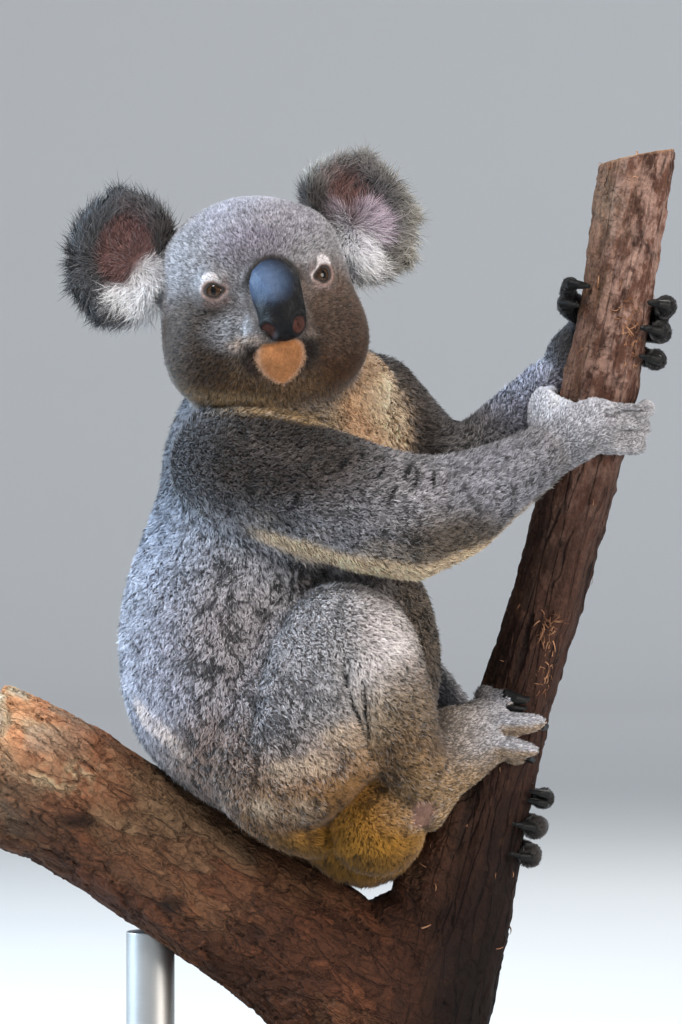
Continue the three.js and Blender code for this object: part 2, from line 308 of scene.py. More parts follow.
def head_point(x, y, z):
    """A place on the head in millimetres from the skull's middle: to the koala's left, backwards, and up."""
    return HEAD_ORIGIN + np.array([x, y, z]) * MM @ HEAD_AXES


def head_points(*each):
    return [head_point(*q) for q in each]


def in_head(p):
    """Places measured on the head, in millimetres."""
    return (p - HEAD_ORIGIN) @ HEAD_AXES.T / MM


# ---------------------------------------------------------------- the skin
SIDES = ["right", "left"]
TORSO = ["head", "neck", "trunk", "thigh_right", "shank_right", "thigh_left", "shank_left"]
LIMBS = [part + side for side in SIDES for part in ("upper_arm_", "forearm_", "hand_", "foot_")]
FLESH = TORSO + LIMBS
EARS = ["ear_right", "ear_left"]
PARTS = FLESH + EARS
# how deep the coat is in millimetres, by the first word of a solid's name
COAT_DEPTH = {
    "head": 2.6, "neck": 4.2, "trunk": 4.2, "thigh": 4, "shank": 3.4,
    "upper": 3.8, "forearm": 3.4, "hand": 1.8, "foot": 1.8,
}
# the sizes of the voxels: for the body, for hands and feet, and for the whole skin
COARSE, MIDDLING, FINE = 3.4 * MM, 1.6 * MM, 2.7 * MM
OVERLAP = 0.5 * MM
SHARE_BLUR = 5 * MM


def swollen(node):
    """A copy that overlaps its neighbours a little, so that the remesh joins them."""
    piece = copy_of(node, "flesh_" + node)
    return place(piece, points(piece) + outward(piece) * OVERLAP)


def shares_of(p, names):
    """How much each point belongs to each named solid, from how near the solid's surface is."""
    weight = np.zeros((len(p), len(PARTS)))
    for name in names:
        mesh = nodes[name].data
        corners = [v.co for v in mesh.vertices]
        tree = BVHTree.FromPolygons(corners, [tuple(f.vertices) for f in mesh.polygons])
        gap = np.array([tree.find_nearest(q)[3] for q in p])
        weight[:, PARTS.index(name)] = 1 / (gap + SHARE_BLUR) ** 3
    return weight / weight.sum(1, keepdims=True)


known_points, known_shares = [], []


def drawn_in(names, voxel, rounds, back, fillers=(), tuck=0):
    """The named solids as one surface, drawn in by the depth of the coat over each of them.

    Where tuck is given, all but the last solid shrinks by that share, to end well inside its neighbour."""
    flesh = joined([swollen(n) for n in [*names, *fillers]], "flesh")
    modify(flesh, "REMESH", mode="VOXEL", voxel_size=voxel)
    relax(flesh, rounds, back=back)
    shares = shares_of(points(flesh), names)
    depth = shares[:, : len(FLESH)] @ np.array([COAT_DEPTH[n.split("_")[0]] * MM for n in FLESH])
    end_share = shares[:, PARTS.index(names[-1])]
    p = points(flesh) - outward(flesh) * depth[:, None]
    joint = p[np.abs(end_share - 0.5) < 0.1].mean(0)
    keep = 1 - tuck * ramp(-end_share, -0.3, -0.02)
    place(flesh, joint + (p - joint) * keep[:, None])
    known_points.append(points(flesh))
    known_shares.append(shares)
    return flesh


def ear_frame(node):
    """The ear's middle, its direction out from the skull, its rise, and the way its hollow faces."""
    p = get(nodes[node].data.vertices, "co").astype(float)
    middle = centre(node)
    face = np.linalg.eigh(np.cov((p - middle).T))[1][:, 0]
    face = face * np.sign(face @ FORWARD)
    away = middle - head_point(0, 0, 20)
    out = unit(away - face * (away @ face))
    rise = np.cross(face, out)
    return middle, np.array([out, rise * np.sign(rise @ UPWARD), face])


EAR_FRAMES = {node: ear_frame(node) for node in EARS}


def ear_place(node, out, rise, face):
    """A place on an ear, in millimetres out from the skull, up, and forwards."""
    middle, axes = EAR_FRAMES[node]
    return middle + np.stack(np.broadcast_arrays(out, rise, face), -1) * MM @ axes


def in_ear(node, p):
    middle, axes = EAR_FRAMES[node]
    return (p - middle) @ axes.T / MM


# the shape of the ears under their fur, in millimetres: half the thickness, the depth of the cup, how far the
# leaf reaches out and up, where its middle and its hollow lie
LEAF_HALF_THICK, LEAF_CUP = 3.4, 11
LEAF_OUT = {"ear_right": 30, "ear_left": 36}
LEAF_RISE = {"ear_right": 38, "ear_left": 39}
LEAF_MIDDLE = {"ear_right": (-2, -3), "ear_left": (-4, -5)}
HOLLOW = {"ear_right": (-4, 4, 0), "ear_left": (-7, 6, 0)}
# the tufts of white and mauve hair in the ears: place, radii and colour
WHITES = {
    "ear_right": (
        ((-20, -13, 0), (10, 11, 14), (0.95, 0.9, 0.92)),
        ((-13, -27, 0), (18, 9, 14), (0.95, 0.93, 0.96)),
    ),
    "ear_left": (
        ((-22, -6, 0), (12, 15, 14), (0.26, 0.2, 0.235)),
        ((0, -10, 0), (9, 12, 14), (0.33, 0.265, 0.32)),
        ((-24, -17, 0), (17, 14, 14), (0.8, 0.79, 0.87)),
    ),
}
# the colours of the ears' rims, outside and inside
EAR_RIMS = {
    "ear_right": ((0.056, 0.058, 0.064), (0.056, 0.058, 0.064)),
    "ear_left": ((0.23, 0.215, 0.185), (0.085, 0.078, 0.084)),
}


def round_start(segments, rings):
    """A plain ball of radius 1 at the origin, to be shaped."""
    return primitive(bpy.ops.mesh.primitive_uv_sphere_add, segments=segments, ring_count=rings, radius=1)


def ear_leaf(node):
    """A cupped leaf with a round rim, well inside the outline of the long fur on it."""
    leaf = round_start(48, 32)
    x, y, z = points(leaf).T
    forwards = LEAF_CUP * (x**2 + z**2 - 0.55) + np.sign(y) * np.abs(y) ** 0.6 * LEAF_HALF_THICK
    out, rise = LEAF_MIDDLE[node]
    return place(leaf, ear_place(node, out + x * LEAF_OUT[node], rise + z * LEAF_RISE[node], forwards))


def ear_root(node):
    """A lump that joins the leaf to the skull."""
    root = round_start(24, 16)
    x, y, z = points(root).T
    return place(root, ear_place(node, x * 22 - 30, z * 22 - 4, y * 11 - 7))


def lump(at, along, radii):
    """A smooth swelling with its first radius along a direction."""
    ball = round_start(24, 16)
    along = unit(np.array(along, float))
    across = unit(np.cross(along, (0, 1, 0)))
    axes = np.array([along, np.cross(across, along), across])
    return place(ball, at + points(ball) * np.array(radii) * MM @ axes)


def round_each(p, middles, radius, soft):
    """1 near any of some places and 0 beyond a radius in millimetres."""
    return np.max([spot(p, middle, np.full(3, radius * MM), soft) for middle in middles], 0)


def outer_shell(obj):
    """Keeps the largest connected surface of an object and removes the shells shut up inside it."""
    before = set(bpy.data.objects)
    edit(obj, (bpy.ops.mesh.separate, {"type": "LOOSE"}))
    parts = [obj, *(set(bpy.data.objects) - before)]
    largest = max(parts, key=lambda o: len(o.data.vertices))
    for part in parts:
        if part is not largest:
            bpy.data.objects.remove(part)
    return largest


# what the solids leave out between them: the root of the thumb, the toes' flesh, the seat and the rump,
# each with its place, its direction and its radii in millimetres
LUMPS = [
    (within("hand_right", 0.11, 0.34, 0.66), (0.1, 0, 1), (16, 10.5, 8.5)),
    (within("foot_right", 0.76, 0.54, 0.72), (1, 0, 0.02), (24, 9, 8.4)),
    (within("foot_right", 0.7, 0.48, 0.53), (1, 0.1, -0.12), (24, 9, 8)),
    (within("foot_right", 0.6, 0.64, 0.82), (1, 0, -0.3), (16, 9, 8)),
    (within("foot_right", 0.36, 0.5, 0.62), (1, 0, 0.4), (30, 16, 21)),
    (within("thigh_right", 0.31, 1.0, 0.075), (0.86, 0, -0.5), (46, 36, 17)),
    (within("thigh_right", 0.8, 0.93, 0.05), (1, 0, 0), (33, 38, 36)),
]
torso = drawn_in(TORSO, COARSE, 26, 0.4, fillers=["eye_right", "eye_left", "nose"])
arms = [drawn_in(["neck", "trunk", "upper_arm_" + s, "forearm_" + s], COARSE, 30, 0.36) for s in SIDES]
hands = [drawn_in(["forearm_" + s, "hand_" + s], MIDDLING, 12, 0.5, tuck=0.75) for s in SIDES]
feet = [drawn_in(["shank_" + s, "foot_" + s], MIDDLING, 12, 0.5, tuck=0.6) for s in SIDES]
ears = [make(n) for n in EARS for make in (ear_leaf, ear_root)]
for node, leaf in zip(EARS, ears[::2]):
    own = np.zeros((len(leaf.data.vertices), len(PARTS)))
    own[:, PARTS.index(node)] = 1
    known_points.append(points(leaf))
    known_shares.append(own)

skin = joined([torso, *arms, *hands, *feet, *ears, *(lump(*each) for each in LUMPS)], "skin")
modify(skin, "REMESH", mode="VOXEL", voxel_size=FINE)
skin = outer_shell(skin)
skin.name = "skin"
relax(skin, 3)
wrists = [centre("hand_" + s) * 0.62 + centre("forearm_" + s) * 0.38 for s in SIDES]
relax(skin, 14, share=round_each(points(skin), wrists, 40, 0.5), back=0.38)
joins = [*places("thigh_right", (0.5, 0.55, 0.08)), *places("trunk", (0.17, 0.2, 0.79), (0.3, 0.12, 0.68))]
relax(skin, 50, share=round_each(points(skin), joins, 56, 0.6), back=0.46)
modify(skin, "TRIANGULATE")

# ---------------------------------------------------------------- lids, mouth and folds
LID_AXES, BALLS = [], []
EYE_SINK = 1.6 * MM
# how far each eyeball is moved to the koala's left and up, in millimetres
EYE_SHIFT = {-1: (1.5, -2.1), 1: (-3.2, -3.1)}
LOOKS_OUT, LOOKS_UP = 0.42, 0.06
for side, eye in zip((-1, 1), EYES):
    gaze = unit(FORWARD + SIDEWAYS * side * LOOKS_OUT + UPWARD * LOOKS_UP)
    across = unit(SIDEWAYS - gaze * (SIDEWAYS @ gaze)) * -side
    above_gaze = unit(UPWARD - gaze * (UPWARD @ gaze) - across * (UPWARD @ across))
    LID_AXES.append(np.array([across, gaze, above_gaze]))
    BALLS.append(eye - gaze * EYE_SINK + (SIDEWAYS * EYE_SHIFT[side][0] + UPWARD * EYE_SHIFT[side][1]) * MM)
# the opening between the lids, and how far the lids stand off the ball, in millimetres
OPENING_HALF_WIDTH, OPENING_TOP, OPENING_BOTTOM = 6.6, (5.2, 5.9), (5.1, 5.7)
LID_THICK, LID_ROLL = 0.9, 0.5
# places on the head in millimetres: the line of the mouth, its corners, and the chin
MOUTH = head_points(
    (-27, -59, -44), (-24, -63, -38), (-19, -68, -33), (-4, -74, -31.5),
    (12, -71, -33), (17, -67, -39), (19, -63, -46),
)
MOUTH_CORNERS = [MOUTH[1], MOUTH[-2]]
CHIN = head_point(-3.5, -68, -44)


def finer(obj, middle, radius, cuts):
    """Divides the faces round a place."""
    by_faces = (bpy.ops.mesh.select_mode, {"type": "FACE"})
    edit(obj, by_faces, (bpy.ops.mesh.select_all, {"action": "DESELECT"}))
    middles = get(obj.data.polygons, "center").astype(float)
    obj.data.polygons.foreach_set("select", np.linalg.norm(middles - middle, axis=1) < radius)
    bpy.ops.object.mode_set(mode="EDIT")
    bpy.ops.mesh.subdivide(number_cuts=cuts, smoothness=0)
    bpy.ops.object.mode_set(mode="OBJECT")


FINGERS = within("hand_right", 0.8, 0.3, 0.55)
for place_to_divide, radius, cuts in [(EYES[0], 17, 2), (EYES[1], 17, 2), (CHIN, 30, 1), (FINGERS, 32, 1)]:
    finer(skin, place_to_divide, radius * MM, cuts)
modify(skin, "TRIANGULATE")


def in_eye(p, k):
    """Places measured from an eyeball in millimetres: towards the nose, ahead, and up."""
    return (p - BALLS[k]) @ LID_AXES[k].T / MM


def opening(p, k):
    """How far outside the opening between the lids a point lies: below 1 it is inside."""
    inner, ahead, up = in_eye(p, k).T
    half = np.where(up > 0, OPENING_TOP[k], OPENING_BOTTOM[k]) * (1 - 0.25 * ramp(inner, 2, 7))
    m = np.hypot(inner / (OPENING_HALF_WIDTH + 0.9 * ramp(inner, 0, 6)), (up + 0.10 * inner) / half)
    return np.where(ahead > -6, m, 9)


def shape_lids(p):
    """Raises the skin round each eye, lays the lids on the ball and leaves the opening free."""
    for k, ball in enumerate(BALLS):
        inner, ahead, up = in_eye(p, k).T
        wide = np.hypot(inner, up)
        lift = (5.2 + 1.2 * ramp(-inner, 2, 9)) * (1 - ramp(wide, 5.5, 19)) * ramp(ahead, -9, -5)
        p = p + LID_AXES[k][1] * (lift * MM)[:, None]
        away = p - ball
        r = np.linalg.norm(away, axis=1)
        m = opening(p, k)
        lid = np.maximum(r, EYE_RADIUS + LID_THICK * MM)
        rolled = EYE_RADIUS + (LID_THICK + LID_ROLL * ramp(m, 1.05, 1.3)) * MM
        lid = lid + (rolled - lid) * (1 - ramp(m, 1.15, 1.7))
        target = np.where(m < 1, EYE_RADIUS - 3 * MM, lid)
        near = m < 2.2
        p = np.where(near[:, None], ball + away * (target / np.maximum(r, 1e-6))[:, None], p)
    return p


def press(p, normal, line, radius, depth):
    """Pushes the skin in along a line, or out if the depth is negative; radius and depth in millimetres."""
    return p - normal * (depth * MM * swell(near_line(p, line)[0], radius * MM))[:, None]


def upright(at):
    """A short line upwards from a place."""
    return [at, at + UPWARD * MM]


def settled(p):
    """Moves the near foot's toes to where they lie on the bark: the top one down, the lowest one up."""
    for line, move in (
        (((0.5, 0.7, 0.92), (0.72, 0.55, 0.9), (0.85, 0.55, 0.88)), (1, 0, -4.5)),
        (((0.6, 0.3, 0.5), (0.88, 0.5, 0.46)), (3, 0, 4)),
    ):
        gap, _ = near_line(p, places("foot_right", *line))
        p = p + np.array(move) * MM * swell(gap, 11 * MM)[:, None]
    return p


PAD = within("foot_right", 0.13, 0.12, 0.13)
# folds and creases of the skin, each as a line on a solid's box; the last two part the near hand's fingers
FOLDS = [
    (
        "thigh_right",
        ((0.56, 0.7, 1.04), (0.43, 0.5, 0.97), (0.35, 0.4, 0.9), (0.27, 0.36, 0.77))
        + ((0.23, 0.32, 0.65), (0.21, 0.28, 0.54), (0.18, 0.26, 0.42)),
    ),
]
CREASES = [
    ("thigh_right", ((0.63, 0.01, 0.71), (0.65, 0.03, 0.58), (0.71, 0.12, 0.44), (0.78, 0.33, 0.29))),
    ("thigh_right", ((0.73, 0.04, 0.59), (0.745, 0.1, 0.48), (0.77, 0.2, 0.38))),
    ("upper_arm_right", ((0.69, 0.12, 0.72), (0.65, 0.12, 0.6))),
    ("upper_arm_right", ((0.87, 0.03, 0.55), (0.84, 0.01, 0.45))),
    ("upper_arm_right", ((0.93, 0.15, 0.7), (0.9, 0.12, 0.58))),
    ("upper_arm_right", ((0.5, 0.1, 0.5), (0.47, 0.12, 0.42))),
    ("upper_arm_right", ((0.76, 0.1, 0.82), (0.74, 0.08, 0.74))),
    ("upper_arm_right", ((0.83, 0.1, 0.68), (0.8, 0.08, 0.58))),
    ("forearm_right", ((0.08, 0.1, 0.72), (0.05, 0.08, 0.56))),
    ("forearm_right", ((0.2, 0.1, 0.74), (0.17, 0.06, 0.6))),
    ("hand_right", ((0.60, 0.08, 0.63), (0.78, 0.3, 0.66), (0.97, 0.45, 0.71))),
    ("hand_right", ((0.70, 0.2, 0.40), (0.85, 0.4, 0.44), (0.97, 0.6, 0.47))),
]
FOLDS = [places(node, *line) for node, line in FOLDS]
CREASES = [places(node, *line) for node, line in CREASES]

p = points(skin)
h = in_head(p)
under_nose = spot(h * (1, 0, 1), (-1, 0, -4), (17, 1, 25), 0.2) * ramp(-h[:, 1], 42, 52)
place(skin, shape_lids(p - FORWARD * (under_nose * 7 * MM)[:, None]))
p = points(skin)
lids_off = np.minimum(opening(p, 0), opening(p, 1))
relax(skin, 2, share=ramp(lids_off, 1.2, 1.6) * ramp(-lids_off, -4, -3))
p, normal = points(skin), outward(skin)
# the mouth with its corners, the chin, the sides of the muzzle, the puffs beside the nose and the left cheek
for line, radius, depth in (
    (MOUTH, 2.4, 2.6),
    *((upright(corner), 5, 5) for corner in MOUTH_CORNERS),
    ([CHIN - SIDEWAYS * 6 * MM, CHIN + SIDEWAYS * 6 * MM], 9, -2),
    (head_points((-19, -68, 0), (-27, -63, -16), (-28, -60, -30)), 4, 1.4),
    (head_points((16, -70, 0), (24, -64, -18), (24, -62, -32)), 4, 1.4),
    (upright(head_point(-23, -69, -23)), 7, -2),
    (upright(head_point(17, -72, -24)), 7, -2),
    (head_points((46, -30, -14), (42, -28, -34)), 20, 3),
):
    p = press(p, normal, line, radius, depth)
skin_tree = BVHTree.FromPolygons([Vector(q) for q in p], [tuple(f.vertices) for f in skin.data.polygons])


def laid(line, steps=6):
    """A line brought onto the skin, in short steps."""
    starts = [a + (b - a) * t for a, b in zip(line, line[1:]) for t in np.arange(0, 1, 1 / steps)]
    return [np.array(skin_tree.find_nearest(Vector(q))[0]) for q in [*starts, line[-1]]]


FOLDS = [laid(line) for line in FOLDS]
CREASES = [laid(line) for line in CREASES]
before = p.copy()
nearest_vertex = nearest_of(before)
# the folds, the knee's creases and the gaps between fingers, then what swells: the near thumb's root, the near
# forearm, the temples, the far hand and foot, and the near foot's pad
for line, radius, depth in (
    *((fold, 8, 5) for fold in FOLDS),
    *((crease, 4.5, 2.5) for crease in CREASES[:2]),
    *((groove, 3.4, 5.5) for groove in CREASES[-2:]),
    (places("hand_right", (0.14, 0.28, 0.5), (0.11, 0.37, 0.97)), 9, -2),
    (places("forearm_right", (0.62, 0.4, 0.75), (0.95, 0.45, 0.9)), 20, -2.6),
    (upright(head_point(-47, -16, 41)), 22, -4.5),
    (upright(head_point(47, -14, 39)), 22, -4.5),
    (places("hand_left", (0.7, 0.3, 0.1), (0.9, 0.3, 0.9)), 22, -1.8),
    (places("foot_left", (0.8, 0.2, 0.1), (0.8, 0.2, 0.7)), 22, -1.8),
    ([PAD, PAD + (0, 0, MM)], 12, -7),
):
    p = press(p, normal, line, radius, depth)
p = settled(p)
from_seat = (p - within("thigh_right", 0.35, 0.5, -0.02)) / (np.array([70, 60, 40]) * MM)
under_seat = np.exp(-(from_seat**2).sum(1)) * ramp(-normal[:, 2], 0.1, 0.6)
p = p + normal * (under_seat * 4 * MM)[:, None]
place(skin, p)


def carried(line):
    """A line moved as the skin under it has been moved."""
    nearest = nearest_vertex(line)
    return np.array(line) + p[nearest] - before[nearest]


FOLDS = [carried(line) for line in FOLDS]
CREASES = [carried(line) for line in CREASES]
p, normal = points(skin), outward(skin)
shares = np.concatenate(known_shares)[nearest_of(np.concatenate(known_points))(p)]
mean_round = neighbours(skin)
for _ in range(8):
    shares = mean_round(shares)
shares /= shares.sum(1, keepdims=True)
h = in_head(p)


def share(*names):
    """How much each point of the skin belongs to solids whose names start so."""
    return sum(shares[:, k] for k, part in enumerate(PARTS) if part.startswith(names))


def gap_to(*lines):
    """How far each point of the skin lies from the nearest of some lines, in millimetres."""
    return np.min([near_line(p, line)[0] for line in lines], 0) / MM


def patch(node, at, size, soft):
    """1 on the skin round a place on a solid's box, 0 beyond its radii, which are in millimetres."""
    return spot(p, within(node, *at), np.array(size) * MM, soft)


def above(node, low, high):
    """0 on the skin below one share of a solid's height, 1 above another, and smooth between."""
    return ramp(p[:, 2], level(node, low), level(node, high))


# ---------------------------------------------------------------- coat colours, with painted light and shade
ASH, PALE, CREAM, IVORY = (0.335, 0.325, 0.345), (0.74, 0.73, 0.76), (0.66, 0.5, 0.33), (0.85, 0.54, 0.32)
RUST, BROWN, DARK = (0.56, 0.245, 0.02), (0.15, 0.09, 0.055), (0.035, 0.028, 0.026)
EAR_BROWN, PEACH, PINKISH = (0.16, 0.082, 0.074), (0.53, 0.23, 0.09), (0.36, 0.26, 0.24)
lids_off = np.minimum(opening(p, 0), opening(p, 1))
mouth_gap, fold_gap = gap_to(MOUTH), gap_to(*FOLDS)
crease_gap, finger_gap = gap_to(*CREASES[:-2]), gap_to(*CREASES[-2:])
ear_places = [in_ear(node, p) for node in EARS]
is_head, is_ear = share("head"), share("ear")
pad_off = np.linalg.norm((p - PAD) / (np.array([8.5, 30, 11]) * MM), axis=1)


def paint(colour, over, amount):
    """Lays one colour over others by an amount from 0 to 1 for each point."""
    return over + (np.array(colour) - over) * np.clip(amount, 0, 1)[:, None]


def layered(c, *layers):
    """Lays several colours over others, each with its amount."""
    for colour, amount in layers:
        c = paint(colour, c, amount)
    return c


# broad changes of tone, partly the coat's own and partly painted light and shade: a painted shadow of the head over
# the near shoulder's dark fur, painted shade on the far upper arm, the rump, the belly, the shank and the near
# hand's underside, and painted light on the upper back, the thigh and the knee. Each gives the solid, the place on
# its box, radii in millimetres, and a factor for each primary
SHADES = [
    ("upper_arm_right", (0.4, 0.14, 0.72), (78, 90, 44), (0.18, 0.14, 0.11)),
    ("upper_arm_right", (0.62, 0.4, 1.0), (60, 70, 26), (0.22, 0.16, 0.1)),
    ("upper_arm_right", (0.8, 0.2, 0.5), (60, 60, 40), (1.04, 1.02, 1.02)),
    ("forearm_right", (0.37, 0.15, 0.25), (50, 60, 20), (0.42, 0.34, 0.25)),
    ("forearm_right", (0.7, 0.3, 0.6), (60, 60, 40), (0.78, 0.8, 0.86)),
    ("forearm_left", (0.6, 0.3, 0.8), (60, 60, 30), (1.15, 1.2, 1.4)),
    ("upper_arm_left", (0.8, 0.3, 0.6), (50, 60, 40), (0.75, 0.7, 0.62)),
    ("trunk", (0.3, 0.1, 0.42), (60, 80, 62), (1.17, 1.09, 1.07)),
    ("trunk", (0.3, 0.1, 0.75), (80, 80, 70), (1.15, 1.18, 1.22)),
    ("trunk", (0.3, 0.3, 0.2), (62, 90, 44), (0.9, 0.75, 0.62)),
    ("trunk", (0.17, 0.4, 0.88), (52, 90, 56), (0.42, 0.43, 0.46)),
    ("trunk", (0.12, 0.4, 0.75), (30, 90, 40), (0.75, 0.8, 0.86)),
    ("thigh_right", (0.05, 0.5, 0.25), (40, 60, 40), (0.8, 0.66, 0.55)),
    ("trunk", (1.0, 0.3, 0.55), (34, 70, 70), (0.6, 0.54, 0.4)),
    ("thigh_right", (0.62, 0.1, 0.72), (66, 60, 62), (1.4, 1.36, 1.3)),
    ("thigh_right", (0.9, 0.2, 0.6), (34, 60, 60), (1.5, 1.46, 1.42)),
    ("shank_right", (0.6, 0.2, 0.5), (50, 60, 40), (0.62, 0.52, 0.36)),
    ("foot_right", (0.5, 0.3, 0.6), (60, 60, 60), (0.86, 0.84, 0.82)),
    ("hand_right", (0.8, 0.3, 0.15), (50, 60, 26), (0.6, 0.54, 0.48)),
]
# the same on the face, partly painted shade: the dark band above the nose and the darker cheeks are painted shade;
# the place in millimetres, the radii and the factors
FACE_SHADES = [
    ((-10, -59, 34), (24, 40, 14), (0.8, 0.77, 0.84)),
    ((6, -49, 60), (50, 60, 26), (0.98, 0.96, 1.04)),
    ((-56, -45, -20), (32, 60, 34), (0.32, 0.26, 0.21)),
    ((-54, -42, -50), (36, 50, 22), (0.94, 0.85, 0.7)),
    ((46, -50, -26), (34, 60, 44), (0.47, 0.32, 0.22)),
    ((-6, -52, -62), (60, 60, 24), (0.94, 0.8, 0.6)),
]
# buff blotches on the near thigh: the place on its box, and the size in millimetres
BLOTCHES = (
    (0.61, 0.11, 0.4, 9), (0.5, 0.15, 0.3, 8), (0.36, 0.2, 0.27, 8),
    (0.27, 0.35, 0.11, 9), (0.45, 0.3, 0.1, 10),
)


def chin_patch(soft, wider=0):
    """1 on the smooth patch under the lip: round-shouldered, and drawn to a point below."""
    t = np.clip((-31 - h[:, 2]) / 28.5, 0, 1)
    half = 16.8 * np.minimum(0.72 + 1.4 * t, 1) * (1 - np.clip((t - 0.3) / 0.7, 0, 1) ** 2) ** 0.65
    inside = ramp(half + wider - np.abs(h[:, 0] + 3.5), -soft, soft) * ramp(-h[:, 2], 30, 32)
    return is_head * inside * ramp(-h[:, 1], 40, 48)


def body_colour_with_painted_light(c, bib):
    """The colours of trunk and limbs, with painted light and shade, laid over a ground colour."""
    up, down = normal[:, 2], -normal[:, 2]
    mottled = cloud(p, 9 * MM, 9)
    for node, at, size, factor in SHADES:
        c = c * (1 + (np.array(factor) - 1) * patch(node, at, size, 0.5)[:, None])
    # painted cool light from the sky on the back, the side that faces away from the belly, fading out high on the
    # trunk
    edge = share("trunk") * ramp(-normal[:, 0], 0.1, 0.8) * ramp(-normal[:, 1], -0.6, 0)
    c = c * (1 + np.array([0.08, 0.14, 0.26]) * (edge * (1 - above("trunk", 0.6, 0.8)))[:, None])
    # the chest, half browned as partly painted shade and cream high up, the bib, the pale underside of the arms,
    # and the far upper arm dark brown, partly painted shade
    along_arm = ramp(p[:, 0], -0.075, -0.045) * ramp(-p[:, 0], -0.16, -0.08)
    under = share("upper_arm_right", "forearm_right") * ramp(down, 0.52, 0.8)
    c = layered(
        c,
        (BROWN, chest * 0.5),
        (CREAM, 0.9 * chest * above("trunk", 0.62, 0.92)),
        (IVORY, bib),
        ((0.88, 0.71, 0.51), 0.9 * bib * patch("neck", (1.0, 0.5, 0.2), (26, 60, 34), 0.6)),
        ((0.95, 0.71, 0.47), 0.95 * under * along_arm),
        (CREAM, 0.6 * share("upper_arm_left", "forearm_left") * ramp(down, 0.5, 0.8)),
        ((0.085, 0.062, 0.05), 0.95 * share("upper_arm_left") * ramp(up, -0.7, -0.3)),
    )
    # the rust of the seat, with a ragged edge and a strip along the bark, painted shade on its underside, and buff
    # blotches above it
    seat = within("thigh_right", 0.76, 0.5, -0.02)
    rust = spot(p + 10 * MM * cloud(p, 22 * MM, 12)[:, None], seat, np.array([70, 130, 61]) * MM, 0.7)
    rust = rust * (1 - share("foot") * above("foot_right", -0.05, 0.09))
    flat = (1, 0.3, 1)
    strip = [q * flat for q in places("thigh_right", (0.2, 0.5, 0.03), (0.4, 0.5, -0.06))]
    strip = 0.55 * ramp(-near_line(p * flat, strip)[0], -22 * MM, -8 * MM)
    rust = np.maximum(rust, strip * share("thigh", "trunk"))
    c = layered(c, (RUST, 0.95 * rust), ((0.2, 0.09, 0.03), 0.7 * rust * ramp(down, 0.2, 0.8)))
    for *at, size in BLOTCHES:
        blotch = patch("thigh_right", at, np.array([1.3, 2.5, 1]) * size, 0.6)
        c = paint((0.8, 0.62, 0.45), c, 0.85 * blotch * (0.65 + 0.35 * mottled))
    slant = gap_to(places("trunk", (0.09, 0.27, 0.35), (0.14, 0.17, 0.31), (0.2, 0.13, 0.27)))
    c = paint((0.75, 0.6, 0.52), c, 0.75 * ramp(-slant, -13, -5) * (0.7 + 0.3 * mottled))
    # hands and feet: pale, with a darker finger side, a brown heel, and the far ones nearly black, which on the far
    # hand's front is dark pads and partly painted shade; the near shank browner, partly painted shade; and the rust
    # darker at the very bottom
    c = paint((0.77, 0.78, 0.86), c, 0.55 * share("hand") + 0.45 * share("foot"))
    fingers = share("hand_right") * patch("hand_right", (0.97, 0.4, 0.5), (38, 60, 40), 0.7)
    back_of_hand = share("hand_right") * patch("hand_right", (0.1, 0.35, 0.8), (22, 22, 22), 0.6)
    c = c * (1 - np.outer(fingers, (0.18, 0.2, 0.22)))
    near_foot = share("foot_right")
    toe_from, toe_to = (within("foot_right", x, 0, 0)[0] for x in (0.25, 0.8))
    lowest = ramp(-p[:, 2], -level("foot_right", 0.08), -level("foot_right", -0.05))
    heel = patch("foot_right", (0.27, 0.1, 0.2), (34, 80, 26), 0.7) * ramp(pad_off, 1.0, 1.2)
    c = layered(
        c,
        ((0.8, 0.86, 1.0), 0.5 * back_of_hand),
        ((0.3, 0.22, 0.15), 0.85 * near_foot * (1 - ramp(p[:, 0], toe_from, toe_to))),
        ((0.022, 0.018, 0.017), 0.97 * share("hand_left") * ramp(-normal[:, 1], -0.5, 0.1)),
        ((0.022, 0.017, 0.014), 0.97 * share("foot_left")),
        (BROWN, 0.5 * share("shank_right")),
        ((0.52, 0.33, 0.16), 0.75 * near_foot * ramp(down, -0.1, 0.6) * ramp(pad_off, 1.0, 1.3)),
        ((0.46, 0.29, 0.14), 0.8 * heel),
        ((0.4, 0.185, 0.022), 0.95 * rust * lowest),
    )
    # painted shade on the underside of the rust
    c = c * (1 - 0.55 * rust * ramp(down, 0.3, 0.9))[:, None]
    return paint((0.52, 0.29, 0.21), c, ramp(-pad_off, -1.05, -0.95))


def on_head(at, size, soft):
    """1 in a patch of the head, measured in millimetres."""
    return is_head * spot(h, at, size, soft)


